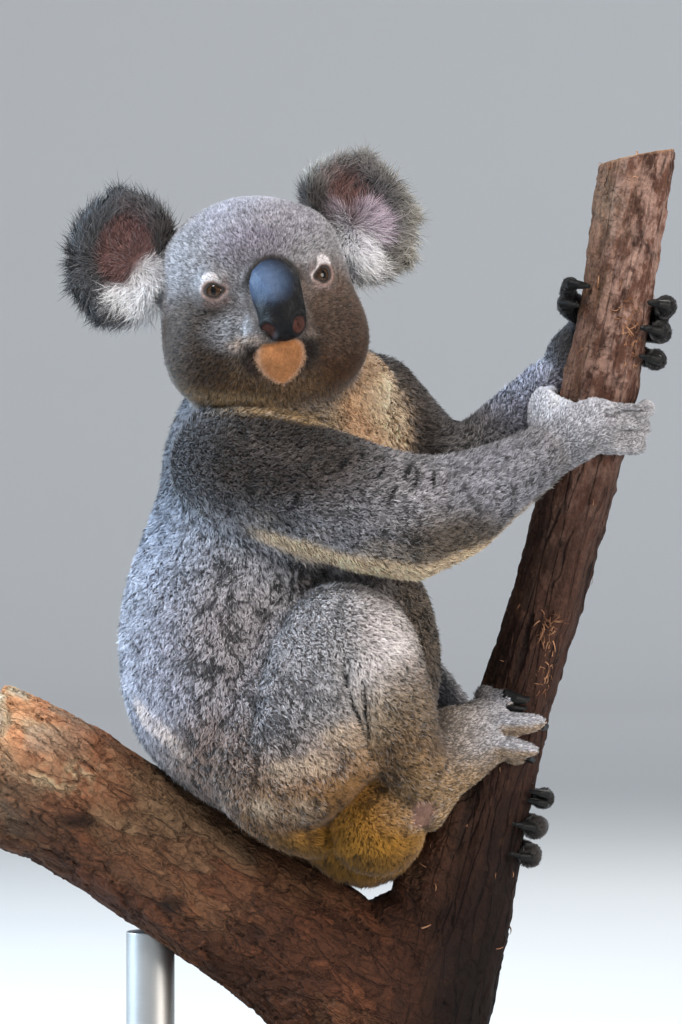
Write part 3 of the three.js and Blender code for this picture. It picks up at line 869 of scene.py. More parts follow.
def head_colour_with_painted_light(c, bib):
    """The colours of the head, with painted light and shade, laid over those of the body."""
    # the lower face darker and browner, partly the fur's own brown and partly painted shade
    low_face = is_head * ramp(-h[:, 1], -30, 25)
    c = layered(
        c,
        (ASH, is_head * (1 - bib)),
        ((0.17, 0.14, 0.125), 0.85 * low_face * ramp(-h[:, 2], -6, 26)),
        ((0.14, 0.09, 0.05), 0.9 * low_face * ramp(-h[:, 2], 30, 62)),
    )
    for at, size, factor in FACE_SHADES:
        c = c * (1 + (np.array(factor) - 1) * on_head(at, size, 0.35)[:, None])
    # the pale muzzle, partly pale fur and partly a painted bluish highlight beside the nose, and the pale upper lip
    c = layered(
        c,
        ((0.66, 0.68, 0.74), 0.5 * on_head((-31, -60, -19), (16, 22, 11), 0.7)),
        ((0.62, 0.48, 0.4), 0.9 * on_head((-25, -64, -28), (11, 18, 4), 0.6)),
        ((0.55, 0.42, 0.34), 0.6 * on_head((19, -66, -29), (5, 16, 3.5), 0.6)),
    )
    # round each eye: pinkish below and towards the nose, a pale arc above, and the lids' dark rims
    for k, (aslant, taller) in enumerate(((-0.2, 0.8), (0.5, 0.7))):
        e, m = in_eye(p, k), opening(p, k)
        face = is_head * ramp(e[:, 1], -9, -5)
        height = taller * ramp(e[:, 2], 2, 6) * ramp(-np.abs(e[:, 0]), -8, -4)
        arc = face * ramp(m, 1.16, 1.3) * ramp(height - m, -1.6, -1.35)
        c = layered(
            c,
            (PINKISH, 0.7 * face * spot(e * (1, 0, 1), (2, 0, -8), (10, 1, 3.4), 0.5)),
            (PINKISH, 0.5 * face * spot(e * (1, 0, 1), (9.5, 0, 1), (3, 1, 6), 0.6)),
            ((0.3, 0.2, 0.175), ramp(-lids_off, -1.42, -1.22)),
            ((0.74, 0.69, 0.7), 0.95 * arc * ramp(e[:, 2] + aslant * e[:, 0], 1.6, 4)),
        )
    # a dark margin round the top of the nose: dark fur, partly painted shadow
    rim = np.hypot(h[:, 0] / 20.3, (h[:, 2] - 1) / 24.3)
    rim = ramp(rim, 0.7, 0.9) * ramp(-rim, -1.14, -1.02) * ramp(h[:, 2], 2, 12)
    c = layered(
        c,
        ((0.16, 0.1, 0.085), ramp(-lids_off, -1.24, -1.14)),
        (DARK, ramp(-lids_off, -1.12, -1.05)),
        # brown between the nose and the koala's left eye, partly painted shade in the groove there
        (BROWN, 0.6 * on_head((20, -60, 6), (4, 12, 12), 0.6)),
        (DARK, 0.95 * is_head * ramp(-h[:, 1], 45, 52) * rim),
    )
    # painted shade in the recessed corners of the mouth
    for corner, width in zip(MOUTH_CORNERS, (7.5, 7)):
        corner_shade = spot(p, corner - UPWARD * 1.5 * MM, np.array((width, 12, 12)) * MM, 0.55)
        c = paint((0.02, 0.015, 0.013), c, 0.95 * is_head * corner_shade)
    throat = gap_to(head_points((-62, -28, -60), (-26, -43, -72), (7, -47, -85), (44, -40, -98)))
    throat = ramp(-throat, -15, -4) * (1 - 0.7 * ramp(-h[:, 0], 20, 60))
    return layered(
        c,
        # painted shade round the sides and top of the chin patch
        ((0.035, 0.02, 0.014), 0.9 * chin_patch(3.5, 5) * ramp(h[:, 2], -58, -46)),
        ((0.6, 0.35, 0.22), chin_patch(1.2)),
        (PEACH, chin_patch(2, -2.5)),
        ((0.08, 0.045, 0.035), is_head * ramp(-mouth_gap, -2.2, -1.0)),
        ((0.52, 0.35, 0.18), 0.9 * (1 - bib) * throat),
    )


def ear_markings(c, node, e):
    """The colours of one ear, from the places on it."""
    here = share(node)
    near = np.clip(here + is_head, 0, 1)
    front = here * ramp(normal @ EAR_FRAMES[node][1][2], 0, 0.4)
    outside, inside = EAR_RIMS[node]
    return layered(
        c,
        (outside, here),
        (inside, front * spot(e * (1, 1, 0), (-4, 2, 0), (31, 34, 1), 0.3)),
        (EAR_BROWN, front * spot(e * (1, 1, 0), HOLLOW[node], (19, 24, 1), 0.3)),
        *((white, near * spot(e * (1, 1, 0.3), at, radii, 0.4)) for at, radii, white in WHITES[node]),
        (DARK, 0.8 * near * spot(e, (-8, -36, 4), (9, 5, 14), 0.6)),
        (DARK, 0.95 * near * spot(e, (-31, 10, 4), (9, 20, 13), 0.5)),
        (PALE, 0.6 * near * spot(e, (-26, -36, 0), (12, 10, 16), 0.6)),
    )


def markings():
    """The colour of the coat at each point of the skin, with painted light and shade."""
    bib = share("trunk", "neck", "head") * patch("neck", (0.92, 0.36, -0.15), (44, 56, 52), 0.3)
    bib = bib * (1 - is_head * ramp(h[:, 2], -76, -62))
    c = head_colour_with_painted_light(body_colour_with_painted_light(np.tile(np.array(ASH), (len(p), 1)), bib), bib)
    for node, e in zip(EARS, ear_places):
        c = ear_markings(c, node, e)
    # painted shade in the folds and creases, and mottling in three sizes
    c = c * (1 - 0.65 * ramp(-fold_gap, -7, -1) - 0.8 * ramp(-crease_gap, -2.2, -0.8) * (1 - chest))[:, None]
    mottling = 0.12 * cloud(p, 26 * MM, 3) + 0.09 * cloud(p, 9 * MM, 5) + 0.12 * cloud(p, 4 * MM, 6)
    return np.clip(c * (1 + mottling)[:, None], 0.01, 0.95)


chest = share("trunk", "neck") * ramp(normal[:, 0], 0.1, 0.75)
coat_colour = markings()
bare = np.clip(np.maximum(ramp(-lids_off, -1.75, -1.4), chin_patch(1.2)), 0, 1)
hollow_skin = sum(
    share(node) * spot(e * (1, 1, 0), HOLLOW[node], (20, 25, 1), 0.25) for node, e in zip(EARS, ear_places)
)
# the skin is painted at 0.4 of the coat's colour where the coat covers it, as painted shade deep in the coat, and
# brighter where it is bare and in the ears' hollows
store(skin, "ColourAndPaintedLight", coat_colour * np.clip(0.4 + 0.6 * bare + 0.6 * hollow_skin, 0, 1)[:, None])
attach(skin, "root")
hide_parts(*PARTS)

# ---------------------------------------------------------------- the lie of the coat
# length and width of a tuft in millimetres, its lift at the root in degrees, tufts per square millimetre, and how
# far a lock draws its tips together
COATS = {
    "head": (3.3, 0.42, 56, 3.3, 0.4),
    "neck": (5.6, 0.54, 58, 2.2, 0.4),
    "trunk": (5.4, 0.55, 58, 1.9, 0.45),
    "thigh": (5.0, 0.54, 58, 2.0, 0.45),
    "shank": (4.4, 0.5, 55, 2.1, 0.4),
    "upper": (5.0, 0.54, 58, 2.0, 0.45),
    "forearm": (4.6, 0.5, 55, 2.1, 0.4),
    "hand": (2.6, 0.42, 34, 2.6, 0.3),
    "foot": (2.8, 0.42, 34, 2.6, 0.3),
    "ear": (15, 0.5, 42, 4.4, 0.3),
}
table = np.array([COATS[part.split("_")[0]] for part in PARTS], float)
length, width, lift, density, draw = (shares @ table).T


def lie_of_coat():
    """The direction along the skin in which the coat lies at each point."""
    flow = np.zeros((len(p), 3))
    steady = {"neck": (0.1, 0.05, -1), "trunk": (-0.12, 0.05, -1)}
    for side in SIDES:
        steady["upper_arm_" + side] = centre("forearm_" + side) - centre("upper_arm_" + side)
        steady["forearm_" + side] = centre("hand_" + side) - centre("forearm_" + side)
        steady["thigh_" + side] = unit(centre("shank_" + side) - centre("thigh_" + side)) + (0.1, 0, -0.9)
        steady["shank_" + side] = centre("foot_" + side) - centre("shank_" + side)
    for part, way in steady.items():
        flow += shares[:, PARTS.index(part), None] * unit(np.array(way, float) * (1, 0.15, 1))
    for side in SIDES:
        flow += share("hand_" + side)[:, None] * unit(centre("hand_" + side) - centre("forearm_" + side))
        flow += share("foot_" + side)[:, None] * np.array([0.9, 0, 0.35])
    flow += share("head")[:, None] * unit(p - head_point(-2, -76, -12))
    for node, e in zip(EARS, ear_places):
        spread = e - (LEAF_MIDDLE[node][0] - 6, LEAF_MIDDLE[node][1], 0)
        flow += share(node)[:, None] * unit(unit(spread * (1, 1, 0)) @ EAR_FRAMES[node][1])
    for _ in range(30):
        flow = flow - normal * (flow * normal).sum(1, keepdims=True)
        flow = mean_round(unit(flow))
    return unit(flow - normal * (flow * normal).sum(1, keepdims=True))


flow = lie_of_coat()
under_nose_now = spot(h * (1, 0, 1), (-1, 0, -4), (17, 1, 25), 0.2) * ramp(-h[:, 1], 36, 44)

# the ears: long fur from the rim and the back, thin down in the hollow, a deep fluff low on the inner side
for node, e in zip(EARS, ear_places):
    here = share(node)
    front = ramp(normal @ EAR_FRAMES[node][1][2], -0.1, 0.5)
    reach = np.hypot(*((e[:, :2] - LEAF_MIDDLE[node]) / (LEAF_OUT[node], LEAF_RISE[node])).T)
    hollow = here * front * spot(e * (1, 1, 0), HOLLOW[node], (21, 26, 1), 0.3)
    fluff = here * front * np.max([spot(e * (1, 1, 0), at, radii, 0.4) for at, radii, _ in WHITES[node]], 0)
    length = length + here * (3 * ramp(reach, 0.7, 1.0)) - hollow * (1 - fluff) * 7 + fluff * 5
    density = density - hollow * (1 - fluff) * 2.7 + fluff * 2.2
    width = width - hollow * 0.2
    lift = lift + here * 10 * ramp(reach, 0.8, 1.0) + fluff * 12

# the face: short round the eyes, the nose and the lips, none on the lids' rims and in the mouth
near_nose = np.linalg.norm(h - (-1, -70, -4), axis=1)
short = np.maximum.reduce([
    ramp(-lids_off, -3.2, -1.6),
    ramp(-near_nose, -42, -26) * ramp(-h[:, 1], 50, 62),
    chin_patch(3) * 1.4,
])
short = short * share("head", "neck")
length = length * (1 - 0.45 * short) * (1 - 0.5 * ramp(-lids_off, -2.2, -1.3))
width = width * (1 - 0.25 * short)
density = density * (1 + 0.5 * short)
density = np.where((lids_off < 1.22) | (under_nose_now > 0.9), 0, density)
density = np.where((mouth_gap < 1.2) & (is_head > 0.5), 0, density)
density = density * (1 - ramp(-finger_gap, -2.2, -1.4)) * ramp(pad_off, 0.95, 1.05)
length = length * (1 - 0.4 * ramp(-finger_gap, -6, -2))
pale_coat = ramp(coat_colour[:, 0], 0.42, 0.62)
calm = share("trunk", "neck") * ramp(-p[:, 0], 0.092, 0.128)
salt = np.clip(1 - 0.75 * pale_coat - 0.4 * short - 0.1 * is_head, 0, 1)
salt = salt * (1 - share("hand_left", "foot_left")) * (1 - ramp(coat_colour[:, 0] / coat_colour[:, 2], 3, 7))

# ---------------------------------------------------------------- growing the coat
random = np.random.default_rng(20)
corners = get(skin.data.polygons, "vertices", 3, np.int32)
side_a, side_b = p[corners[:, 1]] - p[corners[:, 0]], p[corners[:, 2]] - p[corners[:, 0]]
face_area = np.linalg.norm(np.cross(side_a, side_b), axis=1) / 2 / MM**2
# the share of the tufts that grow, and how deep their roots lie under the skin
THINNING = 1
ROOT_SINK = 0.8 * MM
# half the width of a tuft's square on the flat sheet, and the most tufts in one piece
PATCH = 0.0015
PIECE_LIMIT = 99_000


def unwrap(faces):
    """Flat places for the corners of some of the skin's faces."""
    used, renumbered = np.unique(corners[faces], return_inverse=True)
    flat = bpy.data.meshes.new("flat")
    flat.from_pydata(p[used], [], renumbered.reshape(-1, 3))
    sheet = added("flat", flat)
    edit(sheet, (bpy.ops.uv.smart_project, {"angle_limit": math.radians(66), "island_margin": 0.004}))
    uv = get(flat.uv_layers.active.data, "uv", 2).reshape(-1, 3, 2).astype(float)
    bpy.data.objects.remove(sheet)
    return uv


def crease_off(at):
    """How far off the nearest crease each place lies, in millimetres; each crease narrows to its ends."""
    off = np.full(len(at), 9.0)
    for line in CREASES:
        near = np.linalg.norm(at - np.mean(line, 0), axis=1) < 0.05
        gap, share_along = near_line(at[near], line)
        shallow = 0.8 if any(line is groove for groove in CREASES[-2:]) else 0
        off[near] = np.minimum(off[near], gap / MM + shallow + 1.2 * (2 * share_along - 1) ** 2)
    return off


def partings(root):
    """How near each root lies to a gap between two tufts of wool, from 0 to 1."""
    bent = root + np.stack([cloud(root, 6 * MM, 30 + k) for k in range(3)], 1) * 2.4 * MM
    wide = np.abs(cloud(bent * (1, 1, 0.6), 7.5 * MM, 33))
    narrow = np.abs(cloud(bent * (1, 1, 0.7), 4 * MM, 34)) * 1.25
    wool = spot(root, within("trunk", 0.38, 0.05, 0.42), np.array([62, 70, 80]) * MM, 0.5)
    broken = ramp(0.45 * cloud(root, 13 * MM, 35) + 0.7 * cloud(root, 5 * MM, 36) + 0.6 * wool, -0.35, 0.45)
    return ramp(-np.minimum(wide - 0.06 * wool, narrow + 0.1 * wool), -0.22, -0.06) * broken


def grow(name, faces, lock_size, lock_spread, woolly, grain_size=2.2, kept=1.0, contrast=1.1):
    """One piece of the coat: tufts shaped like bent leaves, sown over some of the skin's faces."""
    wanted = face_area[faces] * density[corners[faces]].mean(1) * THINNING * kept
    total = wanted.sum()
    count = int(min(total, PIECE_LIMIT))
    ticks = (np.arange(count) + random.random(count)) * total / count
    picked = np.minimum(np.searchsorted(np.cumsum(wanted), ticks), len(faces) - 1)
    u, v = random.random((2, count))
    fold = u + v > 1
    u, v = np.where(fold, 1 - u, u), np.where(fold, 1 - v, v)
    weight = np.stack([1 - u - v, u, v], 1)
    tri = corners[faces[picked]]

    def here(field):
        values = field[tri]
        return (values * weight.reshape(-1, 3, *[1] * (values.ndim - 2))).sum(1)

    root, up, lie = here(p), unit(here(normal)), here(flow)
    lie = unit(lie - up * (lie * up).sum(1, keepdims=True))
    across = np.cross(lie, up)

    # each tuft belongs to a lock, which has a middle, a turn and a shade of its own
    locks = root[random.permutation(count)[: max(2, int(count / lock_size))]]
    lock = nearest_of(locks)(root)
    to_lock = locks[lock] - root
    to_lock -= up * (to_lock * up).sum(1, keepdims=True)
    wave = 0.5 * cloud(root, 9 * MM, 38) + 0.45 * cloud(root, 4 * MM, 39)
    turn = wave * woolly + random.normal(0, lock_spread, len(locks))[lock] + random.normal(0, 0.16, count)
    turn = turn[:, None]
    way = lie * np.cos(turn) + across * np.sin(turn)

    own = np.clip(random.normal(1, 0.16, count), 0.55, 1.5) * (1 + random.normal(0, 0.1, len(locks)))[lock]
    long = here(length) * MM * own
    rise = np.radians(np.clip(here(lift) + random.normal(0, 9, count), 8, 85))[:, None]
    fall = rise * np.clip(random.normal(0.35, 0.25, count), -0.2, 1)[:, None]
    kink = random.normal(0, 0.45, count)[:, None]
    bent = way * np.cos(kink) + np.cross(up, way) * np.sin(kink)
    stem = way * np.cos(rise) + up * np.sin(rise)
    tip = bent * np.cos(fall) + up * np.sin(fall)
    pull = here(draw)[:, None]
    middle = root + stem * long[:, None] * 0.5 + to_lock * pull * 0.5
    end = middle + tip * long[:, None] * 0.5 + to_lock * pull * 0.5
    seen = middle * 0.4 + end * 0.6
    gap = partings(seen) * woolly * (1 - 0.7 * here(pale_coat)) * (1 - 0.65 * here(calm))
    crease = ramp(-crease_off(root), -2.2, -0.9)
    end = end - up * (np.maximum(gap, crease) * 1.2 * MM)[:, None]
    base = root - up * ROOT_SINK
    twist = random.normal(0, 0.5, count)[:, None]
    ribbon = np.cross(stem, up)
    ribbon = unit(ribbon) * np.cos(twist) + np.cross(stem, unit(ribbon)) * np.sin(twist)
    half = here(width) * MM * 0.5 / math.sqrt(kept) * np.clip(random.normal(1, 0.15, count), 0.6, 1.4)
    half = half[:, None] * ribbon
    co = np.stack([base, middle - half, middle + half, end], 1)

    # the colour of each tuft: dark at the root, partly the hair's own dark base and partly painted shade deep in
    # the coat, pale towards the tip, mottled in grains, with pale and dark hairs, and painted shade in the partings
    # between locks and in the creases
    grey = here(salt)
    grain = 0.34 * contrast * cloud(seen, grain_size * MM, 37) + 0.16 * random.normal(0, 1, len(locks))[lock]
    shade = np.clip(1 + grain * (0.3 + 0.7 * grey) + random.normal(0, 0.16, count), 0.35, 1.9)
    colour = here(coat_colour) * (shade * (1 - 0.86 * gap) * (1 - 0.88 * crease))[:, None]
    kind = random.random(count)
    paler = 0.4 * np.clip(here(coat_colour).mean(1, keepdims=True) * 3.2, 0.1, 1)
    colour = np.where((kind < 0.12 * grey)[:, None], colour * 0.6 + np.array(PALE) * paler, colour)
    colour = np.where((kind > 1 - 0.15 * grey)[:, None], colour * 0.4, colour)
    light_coat = ramp(here(coat_colour).mean(1), 0.45, 0.75)
    tones = np.array([0.4, 0.85, 0.85, 1.15]) + light_coat[:, None] * np.array([0.4, 0.15, 0.15, 0.0])
    tones = tones + here(is_ear)[:, None] * np.array([0, -0.1, -0.1, 1.0])
    colour = np.clip(colour[:, None, :] * tones[:, :, None], 0, 0.96)

    first = (np.arange(count) * 4)[:, None]
    faces_of_tuft = np.array([0, 2, 1, 1, 2, 3])
    mesh = bpy.data.meshes.new(name)
    mesh.vertices.add(count * 4)
    mesh.vertices.foreach_set("co", co.astype(np.float32).ravel())
    mesh.loops.add(count * 6)
    mesh.loops.foreach_set("vertex_index", (first + faces_of_tuft).astype(np.int32).ravel())
    mesh.polygons.add(count * 2)
    mesh.polygons.foreach_set("loop_start", np.arange(0, count * 6, 3, dtype=np.int32))
    mesh.update(calc_edges=True)
    piece = added(name, mesh)
    store(piece, "ColourAndPaintedLight", colour.reshape(-1, 3))

    flat = mesh.uv_layers.new(name="OFBake")
    spread = unwrap(faces)[picked]
    at = (spread * weight[:, :, None]).sum(1)
    at = PATCH + at * (1 - 2 * PATCH)
    steps = np.array([[0, -1], [-1, 0], [1, 0], [0, 1]]) * PATCH
    squares = at[:, None, :] + steps[None]
    flat.data.foreach_set("uv", squares[:, faces_of_tuft].astype(np.float32).ravel())

    blade = unit(np.cross(ribbon, stem))
    blade *= np.where((blade * up).sum(1, keepdims=True) < 0, -1, 1)
    soft = unit(up * 0.82 + blade * 0.18)
    mesh.normals_split_custom_set_from_vertices(np.repeat(soft, 4, axis=0).astype(np.float32))
    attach(piece, "root")
    piece.data.materials.append(fur.material)


# ---------------------------------------------------------------- materials
class Signal:
    """One output of a node. The signs for maths on it add Math nodes."""

    def __init__(self, finish, socket):
        self.finish, self.socket = finish, socket

    def maths(self, operation, a, b=0.0):
        return self.finish.add("ShaderNodeMath", {"operation": operation}, {0: a, 1: b})

    def __add__(self, other):
        return self.maths("ADD", self, other)

    def __sub__(self, other):
        return self.maths("SUBTRACT", self, other)

    def __rsub__(self, other):
        return self.maths("SUBTRACT", other, self)

    def __mul__(self, other):
        return self.maths("MULTIPLY", self, other)

    def __truediv__(self, other):
        return self.maths("DIVIDE", self, other)

    def __pow__(self, other):
        return self.maths("POWER", self, other)

    def above(self, low, high):
        """0 below low, 1 above high, smooth between."""
        settings = {"interpolation_type": "SMOOTHSTEP"}
        return self.finish.add("ShaderNodeMapRange", settings, {0: self, 1: low, 2: high, 3: 0.0, 4: 1.0})

    __radd__, __rmul__ = __add__, __mul__


class Finish:
    """A material with one Principled shader, and ways to add the nodes that feed it."""

    def __init__(self, name, **fixed):
        self.material = bpy.data.materials.new(name)
        self.material.use_nodes = True
        self.tree = self.material.node_tree
        self.shader = self.tree.nodes["Principled BSDF"]
        for socket, value in fixed.items():
            self.shader.inputs[socket.replace("_", " ")].default_value = value

    def feed(self, socket, value):
        if isinstance(value, Signal):
            self.tree.links.new(value.socket, socket)
        elif isinstance(value, (tuple, list)) and len(value) == 3 and socket.type == "RGBA":
            socket.default_value = (*value, 1)
        else:
            socket.default_value = value

    def add(self, kind, settings=None, inputs=None, out=0):
        """Any node: its settings first, then the values or links of its inputs."""
        node = self.tree.nodes.new(kind)
        for name, value in (settings or {}).items():
            setattr(node, name, value)
        for key, value in (inputs or {}).items():
            self.feed(node.inputs[key], value)
        return Signal(self, node.outputs[out])

    def set(self, **signals):
        for socket, value in signals.items():
            self.feed(self.shader.inputs[socket.replace("_", " ")], value)
        return self

    def place(self, stretch=(1, 1, 1), turn=(0, 0, 0)):
        """Object coordinates, turned and then stretched."""
        spot_in = self.add("ShaderNodeTexCoord", out=3)
        turned = self.add("ShaderNodeMapping", {"vector_type": "POINT"}, {0: spot_in, 2: turn})
        return self.add("ShaderNodeMapping", {"vector_type": "POINT"}, {0: turned, 3: stretch})

    def noise(self, at, scale, detail=4.0, rough=0.55):
        inputs = {"Vector": at, "Scale": scale, "Detail": detail, "Roughness": rough}
        return self.add("ShaderNodeTexNoise", None, inputs)

    def stored(self, name, out=0):
        """A colour (out 0) or a number (out 2) kept on the mesh."""
        return self.add("ShaderNodeAttribute", {"attribute_name": name}, None, out)

    def mix(self, share, a, b, way="MIX"):
        """Two colours mixed by a share from 0 to 1."""
        return self.add("ShaderNodeMix", {"data_type": "RGBA", "blend_type": way}, {0: share, 6: a, 7: b}, 2)

    def grainy(self, share, colour, grain, dark, light):
        """A colour that a pattern makes darker in some places and lighter in others."""
        return self.mix(share, colour, self.mix(grain, (dark,) * 3, (light,) * 3), "MULTIPLY")

    def bump(self, height, depth, strength=1.0, under=None):
        inputs = {"Height": height, "Distance": depth, "Strength": strength}
        if under is not None:
            inputs["Normal"] = under
        return self.add("ShaderNodeBump", None, inputs)


fur = Finish("koala fur", Roughness=0.72, Specular_IOR_Level=0.22, Sheen_Weight=0.22, Sheen_Roughness=0.45)
fine = fur.noise(fur.place(), 900.0, 2.0).above(0.25, 0.75)
fur.set(Base_Color=fur.grainy(0.35, fur.stored("ColourAndPaintedLight"), fine, 0.55, 1.3))

hide = Finish("koala skin", Roughness=0.75, Specular_IOR_Level=0.25)
grain = hide.noise(hide.place(), 420.0, 5.0)
hide.set(
    Base_Color=hide.grainy(0.5, hide.stored("ColourAndPaintedLight"), grain.above(0.3, 0.7), 0.6, 1.25),
    Normal=hide.bump(grain, 0.0006, 0.6),
)
skin.data.materials.append(hide.material)

# ---------------------------------------------------------------- the pieces of the coat
owner = np.array(PARTS)[shares.argmax(1)][corners[:, 0]]
middle_of = p[corners].mean(1)
front_of_head = in_head(middle_of)[:, 1] < -8
back_side = middle_of[:, 1] > within("trunk", 0, 0.5, 0)[1]
upper_part = middle_of[:, 2] > level("trunk", 0.5)


def on(*names):
    """The skin's faces that belong to solids whose names start so."""
    return np.any([np.char.startswith(owner, name) for name in names], 0)


# name, faces, tufts to a lock, how far the locks turn from the lie, how woolly, the size of a grain in millimetres,
# the share of the tufts kept, and the contrast of the grain
COAT_PIECES = [
    ("face", on("head") & front_of_head, 8, 0.25, 0.3, 2.0, 1.0, 1.4),
    ("head_back", on("head") & ~front_of_head, 8, 0.25, 0.4, 1.7, 0.62),
    *((node, on(node), 5, 0.22, 0, 1.7, 0.9) for node in EARS),
    ("flank_high", on("trunk", "neck") & ~back_side & upper_part, 10, 0.22, 1, 2.2, 0.95),
    ("flank_low", on("trunk", "neck") & ~back_side & ~upper_part, 10, 0.22, 1, 2.2, 0.95),
    ("back", on("trunk", "neck") & back_side, 10, 0.22, 1, 2.2, 0.41),
]
for side, kept in zip(SIDES, (0.95, 0.64)):
    COAT_PIECES += [
        ("arm_" + side, on("upper_arm_" + side, "forearm_" + side), 10, 0.22, 0.8, 2.0, kept, 1.7),
        ("leg_" + side, on("thigh_" + side, "shank_" + side), 10, 0.22, 0.85, 2.2, kept),
    ]
COAT_PIECES.append(("hands_and_feet", on("hand", "foot"), 8, 0.15, 0.2, 1.8, 0.66, 1.5))
for name, faces, *settings in COAT_PIECES:
    grow("coat_" + name, np.nonzero(faces)[0], *settings)

# ---------------------------------------------------------------- the nose
NOSE_DROOP = 2.6 * MM
NOSTRILS = [head_point(-12.5, -79, -22), head_point(8.5, -82, -20)]
SEPTUM = [head_point(-2, -84, -14), head_point(-2, -82, -34)]
nose = copy_of("nose", "nose_leather")
modify(nose, "REMESH", mode="VOXEL", voxel_size=0.85 * MM)
relax(nose, 24, back=0.46)
q, out = points(nose), outward(nose)


def from_nostril(q, nostril):
    """How far places lie from the middle of a nostril, in millimetres of its width."""
    return np.linalg.norm((q - nostril) @ HEAD_AXES.T / MM / (1.0, 1.6, 1.15), axis=1)


for nostril in NOSTRILS:
    gap = from_nostril(q, nostril)
    q = q - out * (5 * MM * (1 - ramp(gap, 3.0, 6.2)) - 0.8 * MM * np.exp(-(((gap - 7.0) / 1.5) ** 2)))[:, None]
q = press(q, out, SEPTUM, 1.6, 0.8)
on_nose = in_head(q)
q = q - SIDEWAYS * (0.04 * (on_nose[:, 0] - on_nose[:, 0].mean()) * MM)[:, None]
dome = np.exp(-((on_nose[:, 0] / 15) ** 2) - ((on_nose[:, 2] - 3) / 15) ** 2)
q = q + FORWARD * (dome * 1.8 * MM)[:, None] - UPWARD * (ramp(-on_nose[:, 2], -4, 22) * NOSE_DROOP)[:, None]
place(nose, q)
relax(nose, 2)
q = points(nose)
gap = np.min([from_nostril(q + UPWARD * NOSE_DROOP * 0.9, nostril) for nostril in NOSTRILS], 0)
store(nose, "Nostril", 1 - ramp(gap, 4.0, 6.0))
# a painted bluish sheen on the top of the nose towards the koala's right, which stands for a reflection of the sky
store(nose, "PaintedSheen", spot(in_head(q) * (1, 0, 1), (-7, 0, 10), (12, 1, 11), 0.8))
leather = Finish("nose leather", Specular_IOR_Level=0.16)
pebbles = leather.add("ShaderNodeTexVoronoi", {"feature": "F1"}, {"Vector": leather.place(), "Scale": 900.0})
pores = leather.noise(leather.place(), 260.0, 5.0)
inside, painted_sheen = leather.stored("Nostril", 2), leather.stored("PaintedSheen", 2)
# the leather near black, bluish where the sheen is painted, with paler bluish specks in the painted sheen
leather_with_sheen = leather.mix(painted_sheen, (0.004, 0.004, 0.005), (0.05, 0.08, 0.145))
leather_with_sheen = leather.mix(pores.above(0.35, 0.7) * painted_sheen * 0.35, leather_with_sheen, (0.085, 0.115, 0.17))
leather.set(
    Base_Color=leather.mix(inside, leather_with_sheen, (0.085, 0.036, 0.028)),
    Roughness=pores * 0.25 + 0.36 + inside * 0.35,
    Normal=leather.bump(pebbles, 0.0005, 0.5, leather.bump(pores, 0.0012, 0.4)),
)
nose.data.materials.append(leather.material)
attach(nose, "root")
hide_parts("nose")

# ---------------------------------------------------------------- the eyes
# radius of the iris and half the size of the upright pupil, as shares of the ball's radius
IRIS, SLIT_WIDE, SLIT_TALL = 0.78, 0.2, 0.34
ball_finish = Finish("eye", Roughness=0.04, Specular_IOR_Level=0.3)
gaze_map = ball_finish.add("ShaderNodeUVMap", {"uv_map": "Gaze"})
split = ball_finish.add("ShaderNodeSeparateXYZ", None, {0: gaze_map})
sideways = (split - 0.5) * 2
upwards = (Signal(ball_finish, split.socket.node.outputs[1]) - 0.5) * 2
from_middle = (sideways * sideways + upwards * upwards) ** 0.5
slit = ((sideways / SLIT_WIDE) ** 2.0 + (upwards / SLIT_TALL) ** 2.0) ** 0.5
streaks = ball_finish.noise(ball_finish.place(), 700.0, 3.0)
iris = ball_finish.mix(streaks.above(0.3, 0.7), (0.022, 0.011, 0.006), (0.065, 0.033, 0.016))
iris = ball_finish.mix(from_middle.above(0.45, 0.7), iris, (0.015, 0.008, 0.005))
iris = ball_finish.mix(from_middle.above(IRIS - 0.02, IRIS + 0.05), iris, (0.1, 0.07, 0.055))
ball_finish.set(Base_Color=ball_finish.mix(slit.above(0.8, 1.15), (0.002, 0.002, 0.002), iris))
for side, eye, axes, node in zip(SIDES, BALLS, LID_AXES, ("eye_right", "eye_left")):
    ball = round_start(96, 64)
    ball.name = "eyeball_" + side
    away = points(ball)
    place(ball, eye + away * EYE_RADIUS)
    flat = ball.data.uv_layers[0]
    flat.name = "Gaze"
    seen = away[get(ball.data.loops, "vertex_index", 1, np.int32)] @ axes.T
    flat.data.foreach_set("uv", (seen[:, [0, 2]] * 0.5 + 0.5).astype(np.float32).ravel())
    ball.data.materials.append(ball_finish.material)
    smooth(ball)
    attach(ball, "root")
    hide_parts(node)

# ---------------------------------------------------------------- the claws
horn = Finish("claw horn", Specular_IOR_Level=0.22)
ridges = horn.noise(horn.place((300, 300, 300)), 1.0, 4.0)
horn.set(
    Base_Color=horn.mix(ridges.above(0.35, 0.75), (0.002, 0.002, 0.002), (0.007, 0.0065, 0.006)),
    Roughness=ridges * 0.25 + 0.3,
    Normal=horn.bump(ridges, 0.0004, 0.4),
)
CLAW_FULLER = {"hand_right": 0.4, "hand_left": 1.5, "foot_right": 1.3, "foot_left": 1.0}
for limb in CLAW_FULLER:
    names = [n for n in nodes if n.startswith("claw_" + limb)]
    claws = joined([copy_of(n, "horn") for n in names], "claws_" + limb)
    modify(claws, "REMESH", mode="VOXEL", voxel_size=0.55 * MM)
    relax(claws, 5)
    place(claws, settled(points(claws)) + outward(claws) * CLAW_FULLER[limb] * MM)
    claws.data.materials.append(horn.material)
    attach(claws, "root")
    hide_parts(*names)

# ---------------------------------------------------------------- the branch
wood = copy_of("perch_fork", "branch")
